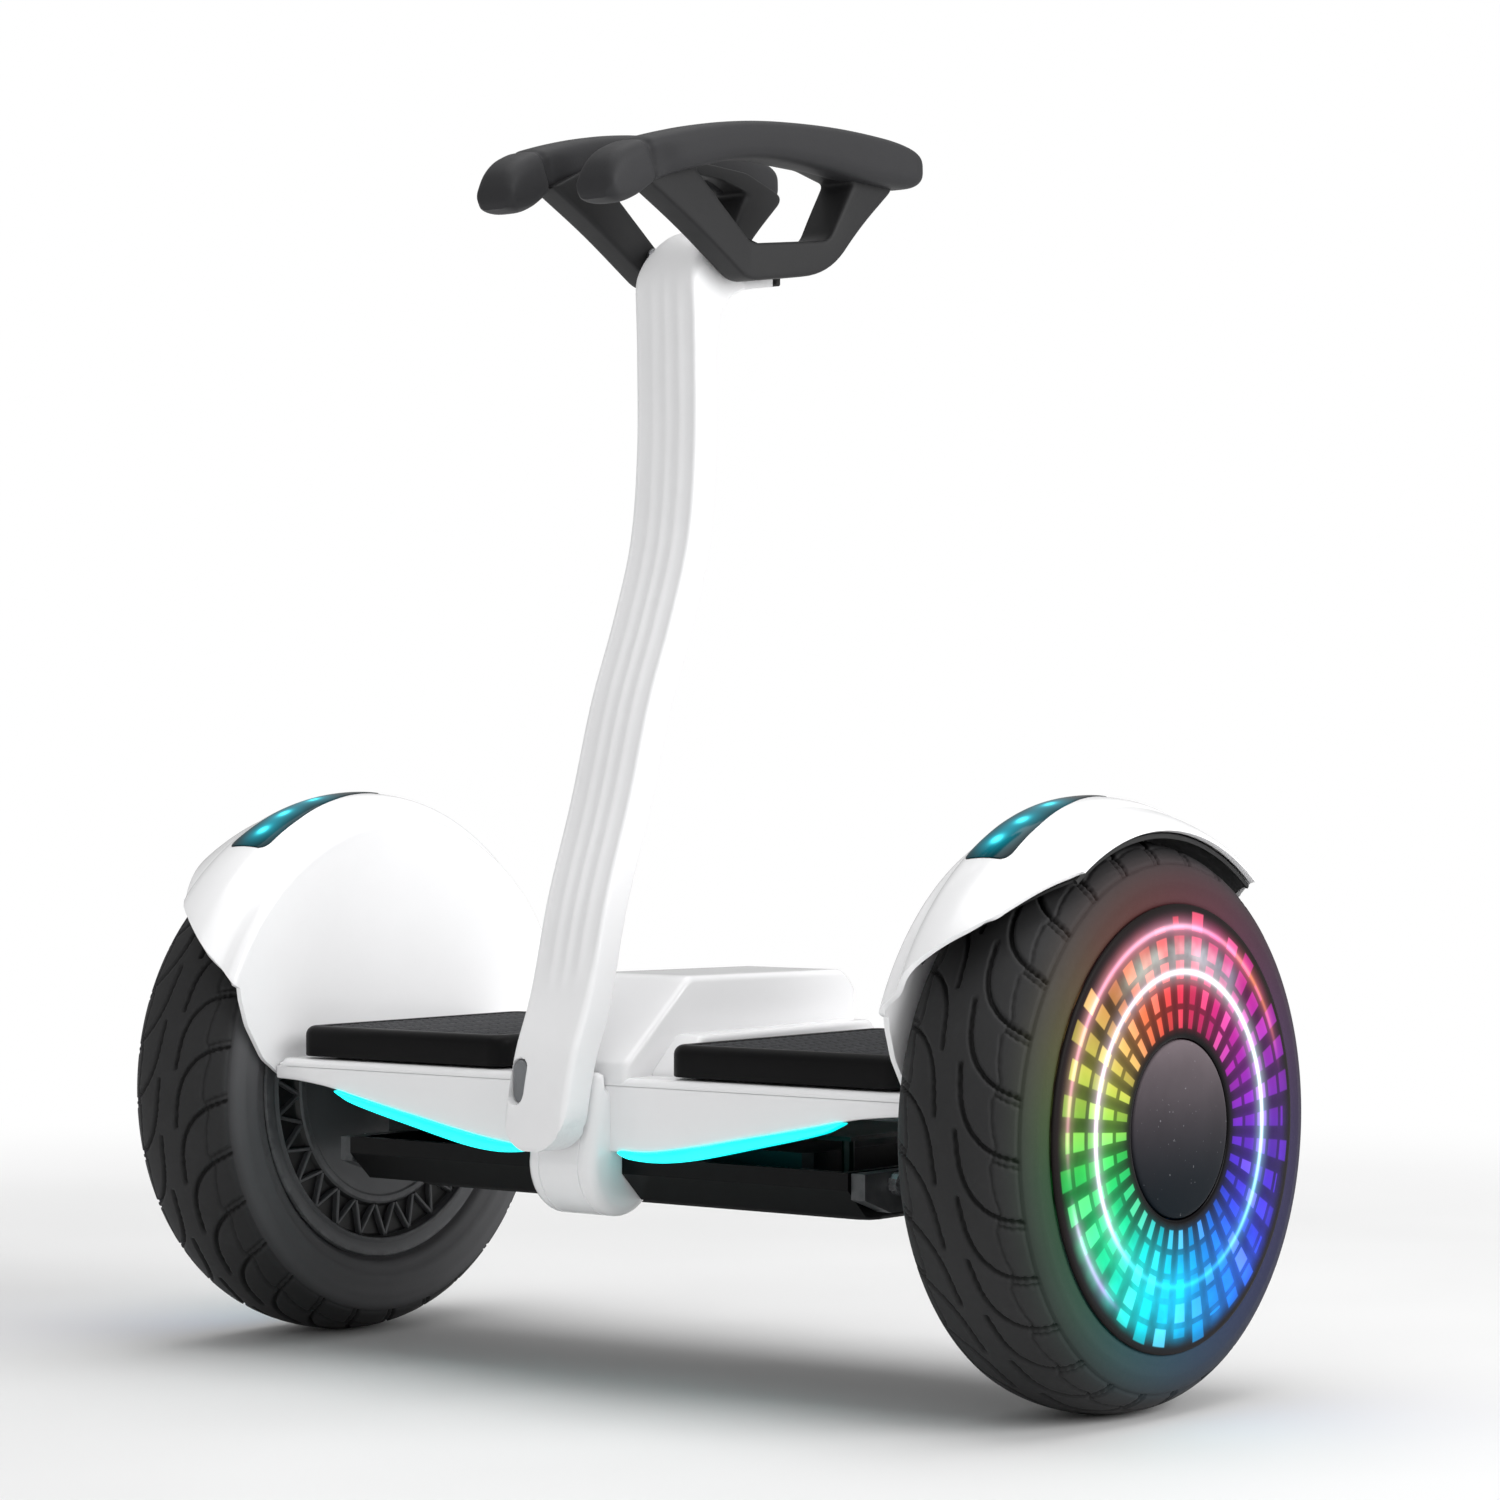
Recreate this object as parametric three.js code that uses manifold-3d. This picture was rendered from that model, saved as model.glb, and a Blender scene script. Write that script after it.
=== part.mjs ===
// Two-wheel self-balancing scooter with a knee-height steering column.
// Frame: X runs along the wheel axle (right wheel at +X), -Y is the front, +Z is up.
// Origin: on the ground, under the middle of the axle. Units: millimetres.
import * as THREE from 'three';
import { mergeVertices } from 'three/addons/utils/BufferGeometryUtils.js';
import Module from 'manifold-3d';

const wasm = await Module();
wasm.setup();

// ---------- driving dimensions ----------
const R = 128;            // tyre outer radius (256 mm over the tread)
const T = 232;            // half track: middle of the axle to the middle plane of a tyre
const N = 32;             // facets round a wheel
const NH = 24;            // facets round a hub piece
const NS = 16;            // facets round a small turned piece
const TYRE_HALF = 34.5;   // half width of a tyre
const DECK_TOP = 145;     // top face of the deck shell
const DECK_Y = 92;        // half depth of the deck shell
const DECK_X = 192;       // half length of the deck shell
const WALL = 3.5;         // wall of the deck shell
const PAD_Z0 = 146.2;     // foot pad underside, 1.2 mm above the deck so that it can be pressed
const PAD_Z1 = 161;       // foot pad top
const CHASSIS_X = 150;    // half length of the chassis tray
const CHASSIS_Z0 = 87;    // underside of the chassis tray
const CHASSIS_Z1 = 108;   // rim of the chassis tray
const PIVOT_Z = 124;      // height of the steering pivot, which runs along Y
const COLUMN_W = 18.5;    // half width of the steering column
const COLUMN_D = 18;      // depth of the steering column
const GAP = 0.3;          // clearance between touching pieces
const WALL_A = -39.2;     // fender side wall, measured from the tyre's middle plane, outwards positive

// ---------- helpers ----------
const V2 = (p) => new THREE.Vector2(p[0], p[1]);
function outline(pts, holes = []) {
  const s = new THREE.Shape(pts.map(V2));
  for (const h of holes) s.holes.push(new THREE.Path(h.map(V2)));
  return s;
}
// merged vertices, faces pointing out
function clean(g) {
  let b = g.index ? g.clone() : g;
  for (const n of Object.keys(b.attributes)) if (n !== 'position') b.deleteAttribute(n);
  b = mergeVertices(b, 1e-4);
  const p = b.attributes.position, ix = Array.from(b.index.array), out = [];
  let vol = 0;
  const a = new THREE.Vector3(), c = new THREE.Vector3(), d = new THREE.Vector3();
  for (let i = 0; i < ix.length; i += 3) {
    const [i0, i1, i2] = [ix[i], ix[i + 1], ix[i + 2]];
    if (i0 === i1 || i1 === i2 || i0 === i2) continue;
    out.push(i0, i1, i2);
    a.fromBufferAttribute(p, i0); c.fromBufferAttribute(p, i1); d.fromBufferAttribute(p, i2);
    vol += a.dot(c.cross(d));
  }
  if (vol < 0) for (let i = 0; i < out.length; i += 3) [out[i + 1], out[i + 2]] = [out[i + 2], out[i + 1]];
  b.setIndex(out);
  b.clearGroups();
  return b;
}
function solid(g) {
  const b = clean(g);
  return new wasm.Manifold(new wasm.Mesh({
    numProp: 3,
    vertProperties: new Float32Array(b.attributes.position.array),
    triVerts: new Uint32Array(b.index.array),
  }));
}
function geo(m) {
  const q = m.getMesh(), g = new THREE.BufferGeometry();
  g.setAttribute('position', new THREE.BufferAttribute(new Float32Array(q.vertProperties), 3));
  g.setIndex(Array.from(q.triVerts));
  return g;
}
const join = (...gs) => geo(gs.map(solid).reduce((a, b) => a.add(b)));
const cut = (g, ...tools) => geo(tools.map(solid).reduce((a, b) => a.subtract(b), solid(g)));
const both = (g, h) => geo(solid(g).intersect(solid(h)));

function extrude(pts, depth, bevel = 0, holes = [], segs = 1) {
  const g = new THREE.ExtrudeGeometry(outline(pts, holes), {
    depth: depth - 2 * bevel, steps: 1, curveSegments: 6,
    bevelEnabled: bevel > 0, bevelThickness: bevel, bevelSize: bevel, bevelOffset: -bevel, bevelSegments: segs,
  });
  g.translate(0, 0, bevel);
  return g;
}
const mat4 = (x, y, z) => new THREE.Matrix4().makeBasis(new THREE.Vector3(...x), new THREE.Vector3(...y), new THREE.Vector3(...z));
// profile in (y, z), run along X
function prismX(pts, x0, x1, bevel = 0, holes = [], segs = 1) {
  const g = extrude(pts, Math.abs(x1 - x0), bevel, holes, segs);
  g.applyMatrix4(mat4([0, 1, 0], [0, 0, 1], [1, 0, 0]));
  g.translate(Math.min(x0, x1), 0, 0);
  return clean(g);
}
// profile in (x, z), run along Y
function prismY(pts, y0, y1, bevel = 0, holes = [], segs = 1) {
  const g = extrude(pts, Math.abs(y1 - y0), bevel, holes, segs);
  g.applyMatrix4(mat4([1, 0, 0], [0, 0, 1], [0, -1, 0]));
  g.translate(0, Math.max(y0, y1), 0);
  return clean(g);
}
// profile in (x, y), run along Z
function prismZ(pts, z0, z1, bevel = 0, holes = [], segs = 1) {
  const g = extrude(pts, z1 - z0, bevel, holes, segs);
  g.translate(0, 0, z0);
  return clean(g);
}
const box = (x0, x1, y0, y1, z0, z1) => {
  const g = new THREE.BoxGeometry(Math.abs(x1 - x0), Math.abs(y1 - y0), Math.abs(z1 - z0));
  g.translate((x0 + x1) / 2, (y0 + y1) / 2, (z0 + z1) / 2);
  return clean(g);
};
const rect = (x0, x1, y0, y1, r, n = 3) => {
  const pts = [];
  for (const [cx, cy, a0] of [[x1 - r, y1 - r, 0], [x0 + r, y1 - r, 90], [x0 + r, y0 + r, 180], [x1 - r, y0 + r, 270]])
    for (let i = 0; i <= n; i++) {
      const a = THREE.MathUtils.degToRad(a0 + 90 * i / n);
      pts.push([cx + r * Math.cos(a), cy + r * Math.sin(a)]);
    }
  return pts;
};
const ring = (cx, cy, r, n) => Array.from({ length: n }, (_, i) => [cx + r * Math.cos(2 * Math.PI * i / n), cy + r * Math.sin(2 * Math.PI * i / n)]);
// turned piece on the wheel axis: profile of [radius, distance outwards from the tyre's middle plane]
function wheelLathe(pts, n, s, closed = true) {
  const p = pts.map(V2);
  if (closed) p.push(p[0].clone());
  const g = new THREE.LatheGeometry(p, n);
  g.rotateZ(-s * Math.PI / 2);
  g.translate(s * T, 0, R);
  return clean(g);
}
// turned piece along Y: profile of [radius, y]
function latheY(pts, n, x, z, closed = false) {
  const p = pts.map(V2);
  if (closed) p.push(p[0].clone());
  const g = new THREE.LatheGeometry(p, n);
  g.translate(x, 0, z);
  return clean(g);
}
// turned piece along X: profile of [radius, |x|]
function latheX(pts, n, s, y, z, closed = false) {
  const p = pts.map(V2);
  if (closed) p.push(p[0].clone());
  const g = new THREE.LatheGeometry(p, n);
  g.rotateZ(-s * Math.PI / 2);
  g.translate(0, y, z);
  return clean(g);
}
// a section (u, v) carried through t = 0..1 by a mapping
function carried(pts, steps, map) {
  const g = new THREE.ExtrudeGeometry(outline(pts), { depth: 1, steps, bevelEnabled: false });
  const p = g.attributes.position;
  for (let i = 0; i < p.count; i++) {
    const q = map(p.getX(i), p.getY(i), p.getZ(i));
    p.setXYZ(i, q[0], q[1], q[2]);
  }
  return clean(g);
}
const rad = THREE.MathUtils.degToRad;
// a point round the wheel: a outwards, r radius, th degrees from the top, negative to the front
const onWheel = (s, a, r, th) => [s * (T + a), r * Math.sin(rad(th)), R + r * Math.cos(rad(th))];
const lerp = (tab, x) => {
  if (x <= tab[0][0]) return tab[0][1];
  for (let i = 1; i < tab.length; i++)
    if (x <= tab[i][0]) return tab[i - 1][1] + (tab[i][1] - tab[i - 1][1]) * (x - tab[i - 1][0]) / (tab[i][0] - tab[i - 1][0]);
  return tab[tab.length - 1][1];
};

const group = new THREE.Group();
function add(name, geometry, color, roughness, metalness, parent = group) {
  const g = clean(geometry);
  g.computeVertexNormals();
  const m = new THREE.Mesh(g, new THREE.MeshStandardMaterial({ color, roughness, metalness, flatShading: true }));
  m.name = name;
  parent.add(m);
  return m;
}
const WHITE = 0xf2f3f5, RUBBER = 0x2b2b2d, BLACK = 0x17181a, GRIP = 0x434446, ALLOY = 0xa9abad, STEEL = 0xc8c9cb,
  CYAN = 0x12e8ea, COPPER = 0xb06a35, BOARD = 0x1d5a38;

// ---------- wheels ----------
const TYRE = [[82, 26.6], [90, 27.2], [93.5, 32], [104, TYRE_HALF], [116, 32], [124.5, 21], [R, 0]];
const TYRE_IN = [[121.5, 10], [105, 27.5], [82, 19]];
const mirrored = (half) => half.map(([r, a]) => [r, -a]);
const tyreProfile = [...TYRE, ...mirrored(TYRE.slice(0, -1)).reverse(), ...mirrored(TYRE_IN).reverse(), ...TYRE_IN];
const rimProfile = [
  [0, 27], [83.5, 27], [84.5, 30], [89.5, 30], [89.5, 27.5], [81.2, 26.6], [81.2, -26.6], [89.5, -27.5], [89.5, -30],
  [80, -30], [80, -24], [77, -24], [77, 22.5], [21, 22.5], [21, 13.5], [15.4, 13.5], [15.4, 21.6], [0, 21.6],
];
const coverProfile = [
  [17.9, -28], [62.5, -28], [64.5, -25.6], [78, -25.6], [79.6, -29.6], [79.6, -24.4], [76.5, -24.4], [76.5, -22.6], [22, -22.6], [22, -17.5], [17.9, -17.5],
];
const discProfile = [[40, 31], [88.6, 31], [95, 34.7], [99, 35], [99, 35.9], [97.5, 36.7], [40, 37.6]];
const capProfile = [[0, 30.8], [39.4, 30.8], [39.4, 37.6], [36.5, 38.6], [0, 39.6]];
const magnetProfile = [[71, -12], [76.3, -12], [76.3, 12], [71, 12]];
const statorProfile = [[8.5, -7], [40, -7], [44, -14], [68, -14], [68, 11], [44, 11], [40, 7], [8.5, 7]];
const axleProfile = [[0, -80], [8, -80], [8, -17.2], [11, -17.2], [11, -14.6], [8, -14.6], [8, 13.2], [6.5, 13.2], [6.5, 21.2], [0, 21.2]];
const bearingIn = [[8.35, -26.4], [17.5, -26.4], [17.5, -17.6], [8.35, -17.6]];
const bearingOut = [[6.85, 13.8], [14.9, 13.8], [14.9, 21.2], [6.85, 21.2]];

// ---------- fenders ----------
// outer surface of the fender: [a, r]; a raised crown band, a crease inboard of it, a skirt outboard
const CROWN = [[-39.5, 131], [-38.6, 136], [-34, 139], [-27, 139.6], [-23.5, 143.4], [-16, 146], [-8, 146.6], [2, 145.5], [11, 142.2], [21, 138.2], [29, 134.2], [31, 131.5]];
const CROWN_IN = [[28.4, 131.5], [27.4, 131.9], [20, 135.4], [10, 139.4], [1, 142.6], [-8, 143.6], [-15, 143], [-21.5, 140.8], [-25.5, 136.8], [-33, 136], [-36.3, 133.5], [-36.6, 131]];
const sweepHalf = (a) => 41.5 + (31 - a) / 70.5 * 24.5;      // how far the fender reaches to the front and to the rear
const rearShort = (a) => 3.5 * Math.max(0, (a + 39.5) / 70.5);    // the skirt stops a little earlier at the rear
const crownR = (a) => lerp(CROWN, a);
// the lamp window: half width along the crown, from its front edge to its tip
const LAMP_TH0 = -34.6, LAMP_TH1 = 5, LAMP_A = -9.8;
const lampW = (t) => lerp([[0, 12.2], [0.3, 11], [0.6, 8.2], [0.85, 4.2], [1, 1.2]], t);
const lampBand = (s, lo, hi, m) => carried(
  [[-1, 0], [-0.4, 0], [0.4, 0], [1, 0], [1, 1], [0.4, 1], [-0.4, 1], [-1, 1]], 9,
  (u, v, t) => {
    const th = LAMP_TH0 - m * 0.4 + (LAMP_TH1 - LAMP_TH0 + m * 0.8) * t;
    const a = LAMP_A + u * (lampW(t) + m);
    return onWheel(s, a, crownR(a) + (v ? hi : lo), th);
  });

function fender(s) {
  const band = carried([...CROWN, ...CROWN_IN], 14, (a, r, t) => onWheel(s, a, r, -sweepHalf(a) + (2 * sweepHalf(a) - rearShort(a)) * t));
  const arc = [];
  for (let i = 0; i <= 14; i++) {
    const th = rad(65.5 - 131 * i / 14);
    arc.push([134 * Math.sin(th), R + 134 * Math.cos(th)]);
  }
  const wall = prismX([...arc, [-112, 161], [-100, 144.5], [-86, 135], [86, 135], [100, 144.5], [112, 161]],
    s * (T - 39.2), s * (T - 36.9));
  const axleSlot = latheX([[0, T - 45], [10.5, T - 45], [10.5, T - 30], [0, T - 30]], NS, s, 0, R);
  return cut(join(band, wall), axleSlot, lampBand(s, -2.2, 6, GAP));
}
const liner = (s) => {
  const top = [[-20, 139.6], [-15, 142.2], [-8, 142.8], [0, 141.8], [10, 138.4], [20, 134.4], [27, 130.9]];
  const low = top.map(([a, r]) => [a, r - 2]).reverse();
  return carried([...top, ...low], 10, (a, r, t) => onWheel(s, a, r, -(44 + (27 - a) / 47 * 12) + 2 * (43 + (27 - a) / 47 * 12) * t));
};

// ---------- chassis ----------
const keelRoom = box(-20.9, 20.9, -110, -53.8, 60, 141.2);
const BOLT_Y = 60, BOLT_Z = 102;
const boltHole = (s, y) => latheX([[0, 130], [3.5, 130], [3.5, 170], [0, 170]], 12, s, y, BOLT_Z);
const tray = cut(
  prismX([[-84, 100], [-84, CHASSIS_Z1], [84, CHASSIS_Z1], [84, 100], [70, CHASSIS_Z0], [-70, CHASSIS_Z0]], -CHASSIS_X, CHASSIS_X),
  prismX([[-80, 101.5], [-80, 120], [80, 120], [80, 101.5], [68, 91], [-68, 91]], -CHASSIS_X + 4, CHASSIS_X - 4),
  keelRoom, boltHole(1, BOLT_Y), boltHole(1, -BOLT_Y), boltHole(-1, BOLT_Y), boltHole(-1, -BOLT_Y));
add('chassis_frame', tray, BLACK, 0.5, 0.4);
add('battery_cover', prismZ(rect(-138, 138, -50, 62, 8, 2), 83, CHASSIS_Z0 - GAP, 1.2), BLACK, 0.6, 0.0);
add('battery_pack', prismZ(rect(-100, 100, -46, 60, 4, 1), 91.4, 111), 0x2d5fa8, 0.6, 0.0);
add('control_board', join(
  box(-112, 112, -30, 50, 116, 118),
  box(-60, -20, -20, 20, 117, 127), box(10, 50, -10, 40, 117, 124),
  prismZ(ring(-107, -25, 3, 8), 91.3, 117), prismZ(ring(107, -25, 3, 8), 91.3, 117),
  prismZ(ring(-107, 45, 3, 8), 91.3, 117), prismZ(ring(107, 45, 3, 8), 91.3, 117)), BOARD, 0.5, 0.1);
add('gyro_board', join(box(-20, 0, 42, 49, 118.3, 137), box(-24, 24, 22, 49, 136, 138), box(-4, 8, 30, 40, 137.5, 141)), BOARD, 0.5, 0.1);

// ---------- deck ----------
const LOWER = [[25, 113.2], [42, 113.6], [70, 117.6], [105, 124], [140, 129.4], [153, 131.5], [178, 134.4], [DECK_X, 135]];
const deckOutline = [...LOWER, [DECK_X, DECK_TOP], [-DECK_X, DECK_TOP], ...LOWER.map(([x, z]) => [-x, z]).reverse()];
const tunnelOut = [[-DECK_Y, 140], [-DECK_Y, 151.3], [-45, 190], [77, 188.5], [87, 180], [87, 140]];
const tunnelIn = [[-88.5, 120], [-88.5, 150], [-43.8, 186.8], [76, 185.4], [84, 178.6], [84, 120]];
// low plinth round the foot of the tunnel, between the two pads
const plinthOut = [[-74, 141], [-73, 146.4], [-55, 163], [79, 164.4], [84, 158], [84, 141]];
const plinthIn = [[-70.5, 120], [-70.5, 145.4], [-53.9, 160.4], [77.7, 161.7], [81.4, 157], [81.4, 120]];
const SWITCH_X = 115, SWITCH_Y = -12, PORT_Z = 164, PORT_X = 11;
const hole = (x, r) => latheY([[0, 70], [r, 70], [r, 100], [0, 100]], NS, x, PORT_Z);
const deck = cut(
  join(prismY(deckOutline, -DECK_Y, DECK_Y), prismX(tunnelOut, -30, 30, 1.5), prismX(plinthOut, -45.2, 45.2, 1.2)),
  box(-DECK_X + 2.5, DECK_X - 2.5, -DECK_Y + WALL, DECK_Y - WALL, 60, DECK_TOP - WALL),
  box(-DECK_X - 5, DECK_X + 5, -12, 12, 120, DECK_TOP - WALL),
  prismX(tunnelIn, -27, 27), prismX(plinthIn, -42.6, 42.6), keelRoom,
  box(SWITCH_X - 8, SWITCH_X + 8, SWITCH_Y - 6, SWITCH_Y + 6, 130, 150),
  box(-SWITCH_X - 8, -SWITCH_X + 8, SWITCH_Y - 6, SWITCH_Y + 6, 130, 150),
  hole(-PORT_X, 7.4), hole(PORT_X, 7.4));
add('deck_shell', deck, WHITE, 0.28, 0.0);
// underside pod that carries the steering pivot
const pod = [[-105, 105], [-103.5, 116], [-102, 128], [-99.9, 140], [-97.6, 147], [-92.5, 147], [-92.5, 140.8], [-55, 140.8], [-54.5, 105]];
for (let i = 1; i < 12; i++) pod.push([-79.75 + 25.25 * Math.cos(rad(-180 * i / 12)), 105 + 25.25 * Math.sin(rad(-180 * i / 12))]);
add('front_keel', cut(prismX(pod, -20.4, 20.4, 1.5), latheY([[0, -120], [11.4, -120], [11.4, -40], [0, -40]], NS, 0, PIVOT_Z)), WHITE, 0.28, 0.0);

// charge port and power switch on the rear of the centre tunnel
add('charge_socket', latheY([[0, 74], [7, 74], [7, 87.3], [9, 87.3], [9, 88.7], [4.6, 88.7], [4.6, 79], [0, 79]], NS, -PORT_X, PORT_Z), BLACK, 0.6, 0.0);
add('charge_cap', join(latheY([[0, 89], [9.4, 89], [9.4, 91], [0, 91]], NS, -PORT_X, PORT_Z), box(-PORT_X - 4, -PORT_X + 4, 89.05, 90.95, 150.6, 158)), RUBBER, 0.8, 0.0);
add('power_button', latheY([[0, 79], [7, 79], [7, 88.6], [6, 89.4], [0, 89.4]], NS, PORT_X, PORT_Z), 0xb9bcc0, 0.35, 0.3);

// ---------- steering ----------
add('bushing_front', latheY([[7.35, -99], [11.05, -99], [11.05, -90], [7.35, -90]], NS, 0, PIVOT_Z, true), 0x333436, 0.7, 0.0);
add('bushing_rear', latheY([[7.35, -66], [11.05, -66], [11.05, -56], [7.35, -56]], NS, 0, PIVOT_Z, true), 0x333436, 0.7, 0.0);
add('steering_shaft', latheY([[0, -104.4], [9, -104.4], [9, -102.6], [7, -102.6], [7, -45], [0, -45]], NS, 0, PIVOT_Z), STEEL, 0.35, 0.9);
add('steering_lever', cut(join(box(-10.5, 10.5, -52.5, -48.5, 114, 134), box(-5, 5, -52.5, -48.5, 130, 139.5)),
  latheY([[0, -60], [7.35, -60], [7.35, -40], [0, -40]], NS, 0, PIVOT_Z)), STEEL, 0.45, 0.8);

// side outline of the column: front face, over the neck, back along the tongue, down the rear face
const FRONT = [[-125, 112], [-121, 135], [-115, 158], [-105, 182], [-93, 226], [-76, 272], [-61, 319], [-45, 357], [-32, 395], [-27, 438], [-27, 486], [-28, 514]];
const backOf = (pts, d) => pts.map((p, i) => {
  const q0 = pts[Math.max(0, i - 1)], q1 = pts[Math.min(pts.length - 1, i + 1)];
  const ty = q1[0] - q0[0], tz = q1[1] - q0[1], l = Math.hypot(ty, tz);
  return [p[0] + d * tz / l, p[1] - d * ty / l];
});
const BACK = backOf(FRONT.slice(0, -1), COLUMN_D);
const NECK = [[-26.5, 526], [-20.5, 537], [-10, 543.6], [1, 542], [9, 535.5], [36, 530.4], [36, 523.4], [12, 518], [1.5, 512], [-6, 503]];
const columnSide = [...FRONT, ...NECK, ...BACK.reverse()];
const face = [];
for (let i = 0; i <= 10; i++) {
  const a = rad(180 + 18 * i);
  face.push([COLUMN_W * Math.cos(a), 130 + 18.5 * Math.sin(a)]);
}
face.push([COLUMN_W, 560], [-COLUMN_W, 560]);
const LATCH = [-13, 143];
const HB = [[-11, 533], [0, 530]];     // the two bolts through the neck, [y, z]
const boltAcross = (y, z, r, w) => { const g = new THREE.CylinderGeometry(r, r, 2 * w, 12); g.rotateZ(Math.PI / 2); g.translate(0, y, z); return clean(g); };
const slot = (w, h, y0, y1) => {
  const pts = [];
  for (let i = 0; i <= 6; i++) pts.push([LATCH[0] + w * Math.cos(rad(30 * i)), LATCH[1] + h - w + w * Math.sin(rad(30 * i))]);
  for (let i = 0; i <= 6; i++) pts.push([LATCH[0] + w * Math.cos(rad(180 + 30 * i)), LATCH[1] - h + w + w * Math.sin(rad(180 + 30 * i))]);
  return prismY(pts, y0, y1);
};
const column = cut(both(prismX(columnSide, -COLUMN_W, COLUMN_W, 3), prismY(face, -140, 80)),
  latheY([[0, -104.7], [9.4, -104.7], [9.4, -95], [0, -95]], NS, 0, PIVOT_Z),
  slot(4.6, 10.3, -140, -108.5), boltAcross(HB[0][0], HB[0][1], 3, 30), boltAcross(HB[1][0], HB[1][1], 3, 30));
add('column_tube', column, WHITE, 0.4, 0.1);
add('latch_button', slot(4.2, 9.9, -117, -111.8), 0x8b8d90, 0.45, 0.2);
HB.forEach(([y, z], i) => add(i ? 'handle_bolt_rear' : 'handle_bolt_front', (() => {
  const p = [[0, -21], [3.2, -20.6], [4.3, -18.8], [2.6, -18.8], [2.6, 18.8], [4.3, 18.8], [3.2, 20.6], [0, 21]].map(V2);
  const g = new THREE.LatheGeometry(p, 12);
  g.rotateZ(-Math.PI / 2);
  g.translate(0, y, z);
  return g;
})(), STEEL, 0.25, 0.9));
add('bracket_end_cap', prismX(rect(36.4, 39.2, 521, 530.2, 0.8, 1), -19, 19), BLACK, 0.6, 0.0);

// ---------- handle ----------
// the top bar of a handle frame splays outwards to the rear; the loop under it widens to the rear
const BAR_W = 11.5;
const topX = (y) => 37.7 + 0.066 * y;
const LOOP_IN = [[-90, 20.5], [-6, 21.3], [60, 22], [110, 23.5]], LOOP_OUT = [[-90, 35], [-6, 35.5], [60, 43], [110, 46.5]];
add('handle_bracket', (() => {
  const g = prismX([[9.4, 535.9], [36.2, 530.8], [38.8, 531.2], [38.8, 534], [28, 538], [9.4, 541.5]], -1, 1);
  const p = g.attributes.position;
  for (let i = 0; i < p.count; i++) p.setX(i, p.getX(i) * (lerp(LOOP_IN, p.getY(i)) - GAP));
  return g;
})(), BLACK, 0.45, 0.6);
const BAR_TOP = [[-116.5, 550], [-115.8, 556], [-111.5, 563.5], [-101, 571.2], [-86, 577.3], [-50, 587], [-17, 592.5], [15, 595.3], [50, 596.5], [82, 595.6], [99, 593.6], [109, 590.2], [113, 585]];
const BAR_LOW = [[112.8, 579.5], [109.5, 575], [102, 572.8], [72, 572.6], [35, 575], [0, 575.6], [-28, 572.4], [-52, 566.4], [-70, 561], [-84, 555.5], [-94, 549.3], [-103, 546], [-112, 545.6]];
const LOOP = [[-84, 559], [-6, 518.3], [22, 521], [49, 526], [62, 531], [77, 545], [89, 558.6], [100, 574], [70, 582], [0, 584], [-50, 574]];
const WINDOW = [[-46, 567.5], [-4, 536.5], [49, 542.8], [67, 573], [35, 577.3], [0, 577.5]];
function handle(s) {
  const shear = (g, fx) => { const p = g.attributes.position; for (let i = 0; i < p.count; i++) p.setX(i, s * (fx(p.getY(i)) + p.getX(i))); return clean(g); };
  const bar = shear(prismX([...BAR_TOP, ...BAR_LOW], -BAR_W, BAR_W, 4, [], 1), topX);
  const loop = prismX(LOOP, -1, 1, 0.15, [WINDOW], 1), p = loop.attributes.position;
  for (let i = 0; i < p.count; i++) {
    const y = p.getY(i), a = lerp(LOOP_IN, y), b = lerp(LOOP_OUT, y);
    p.setX(i, s * ((a + b) / 2 + p.getX(i) * (b - a) / 2));
  }
  return join(bar, clean(loop));
}
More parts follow.
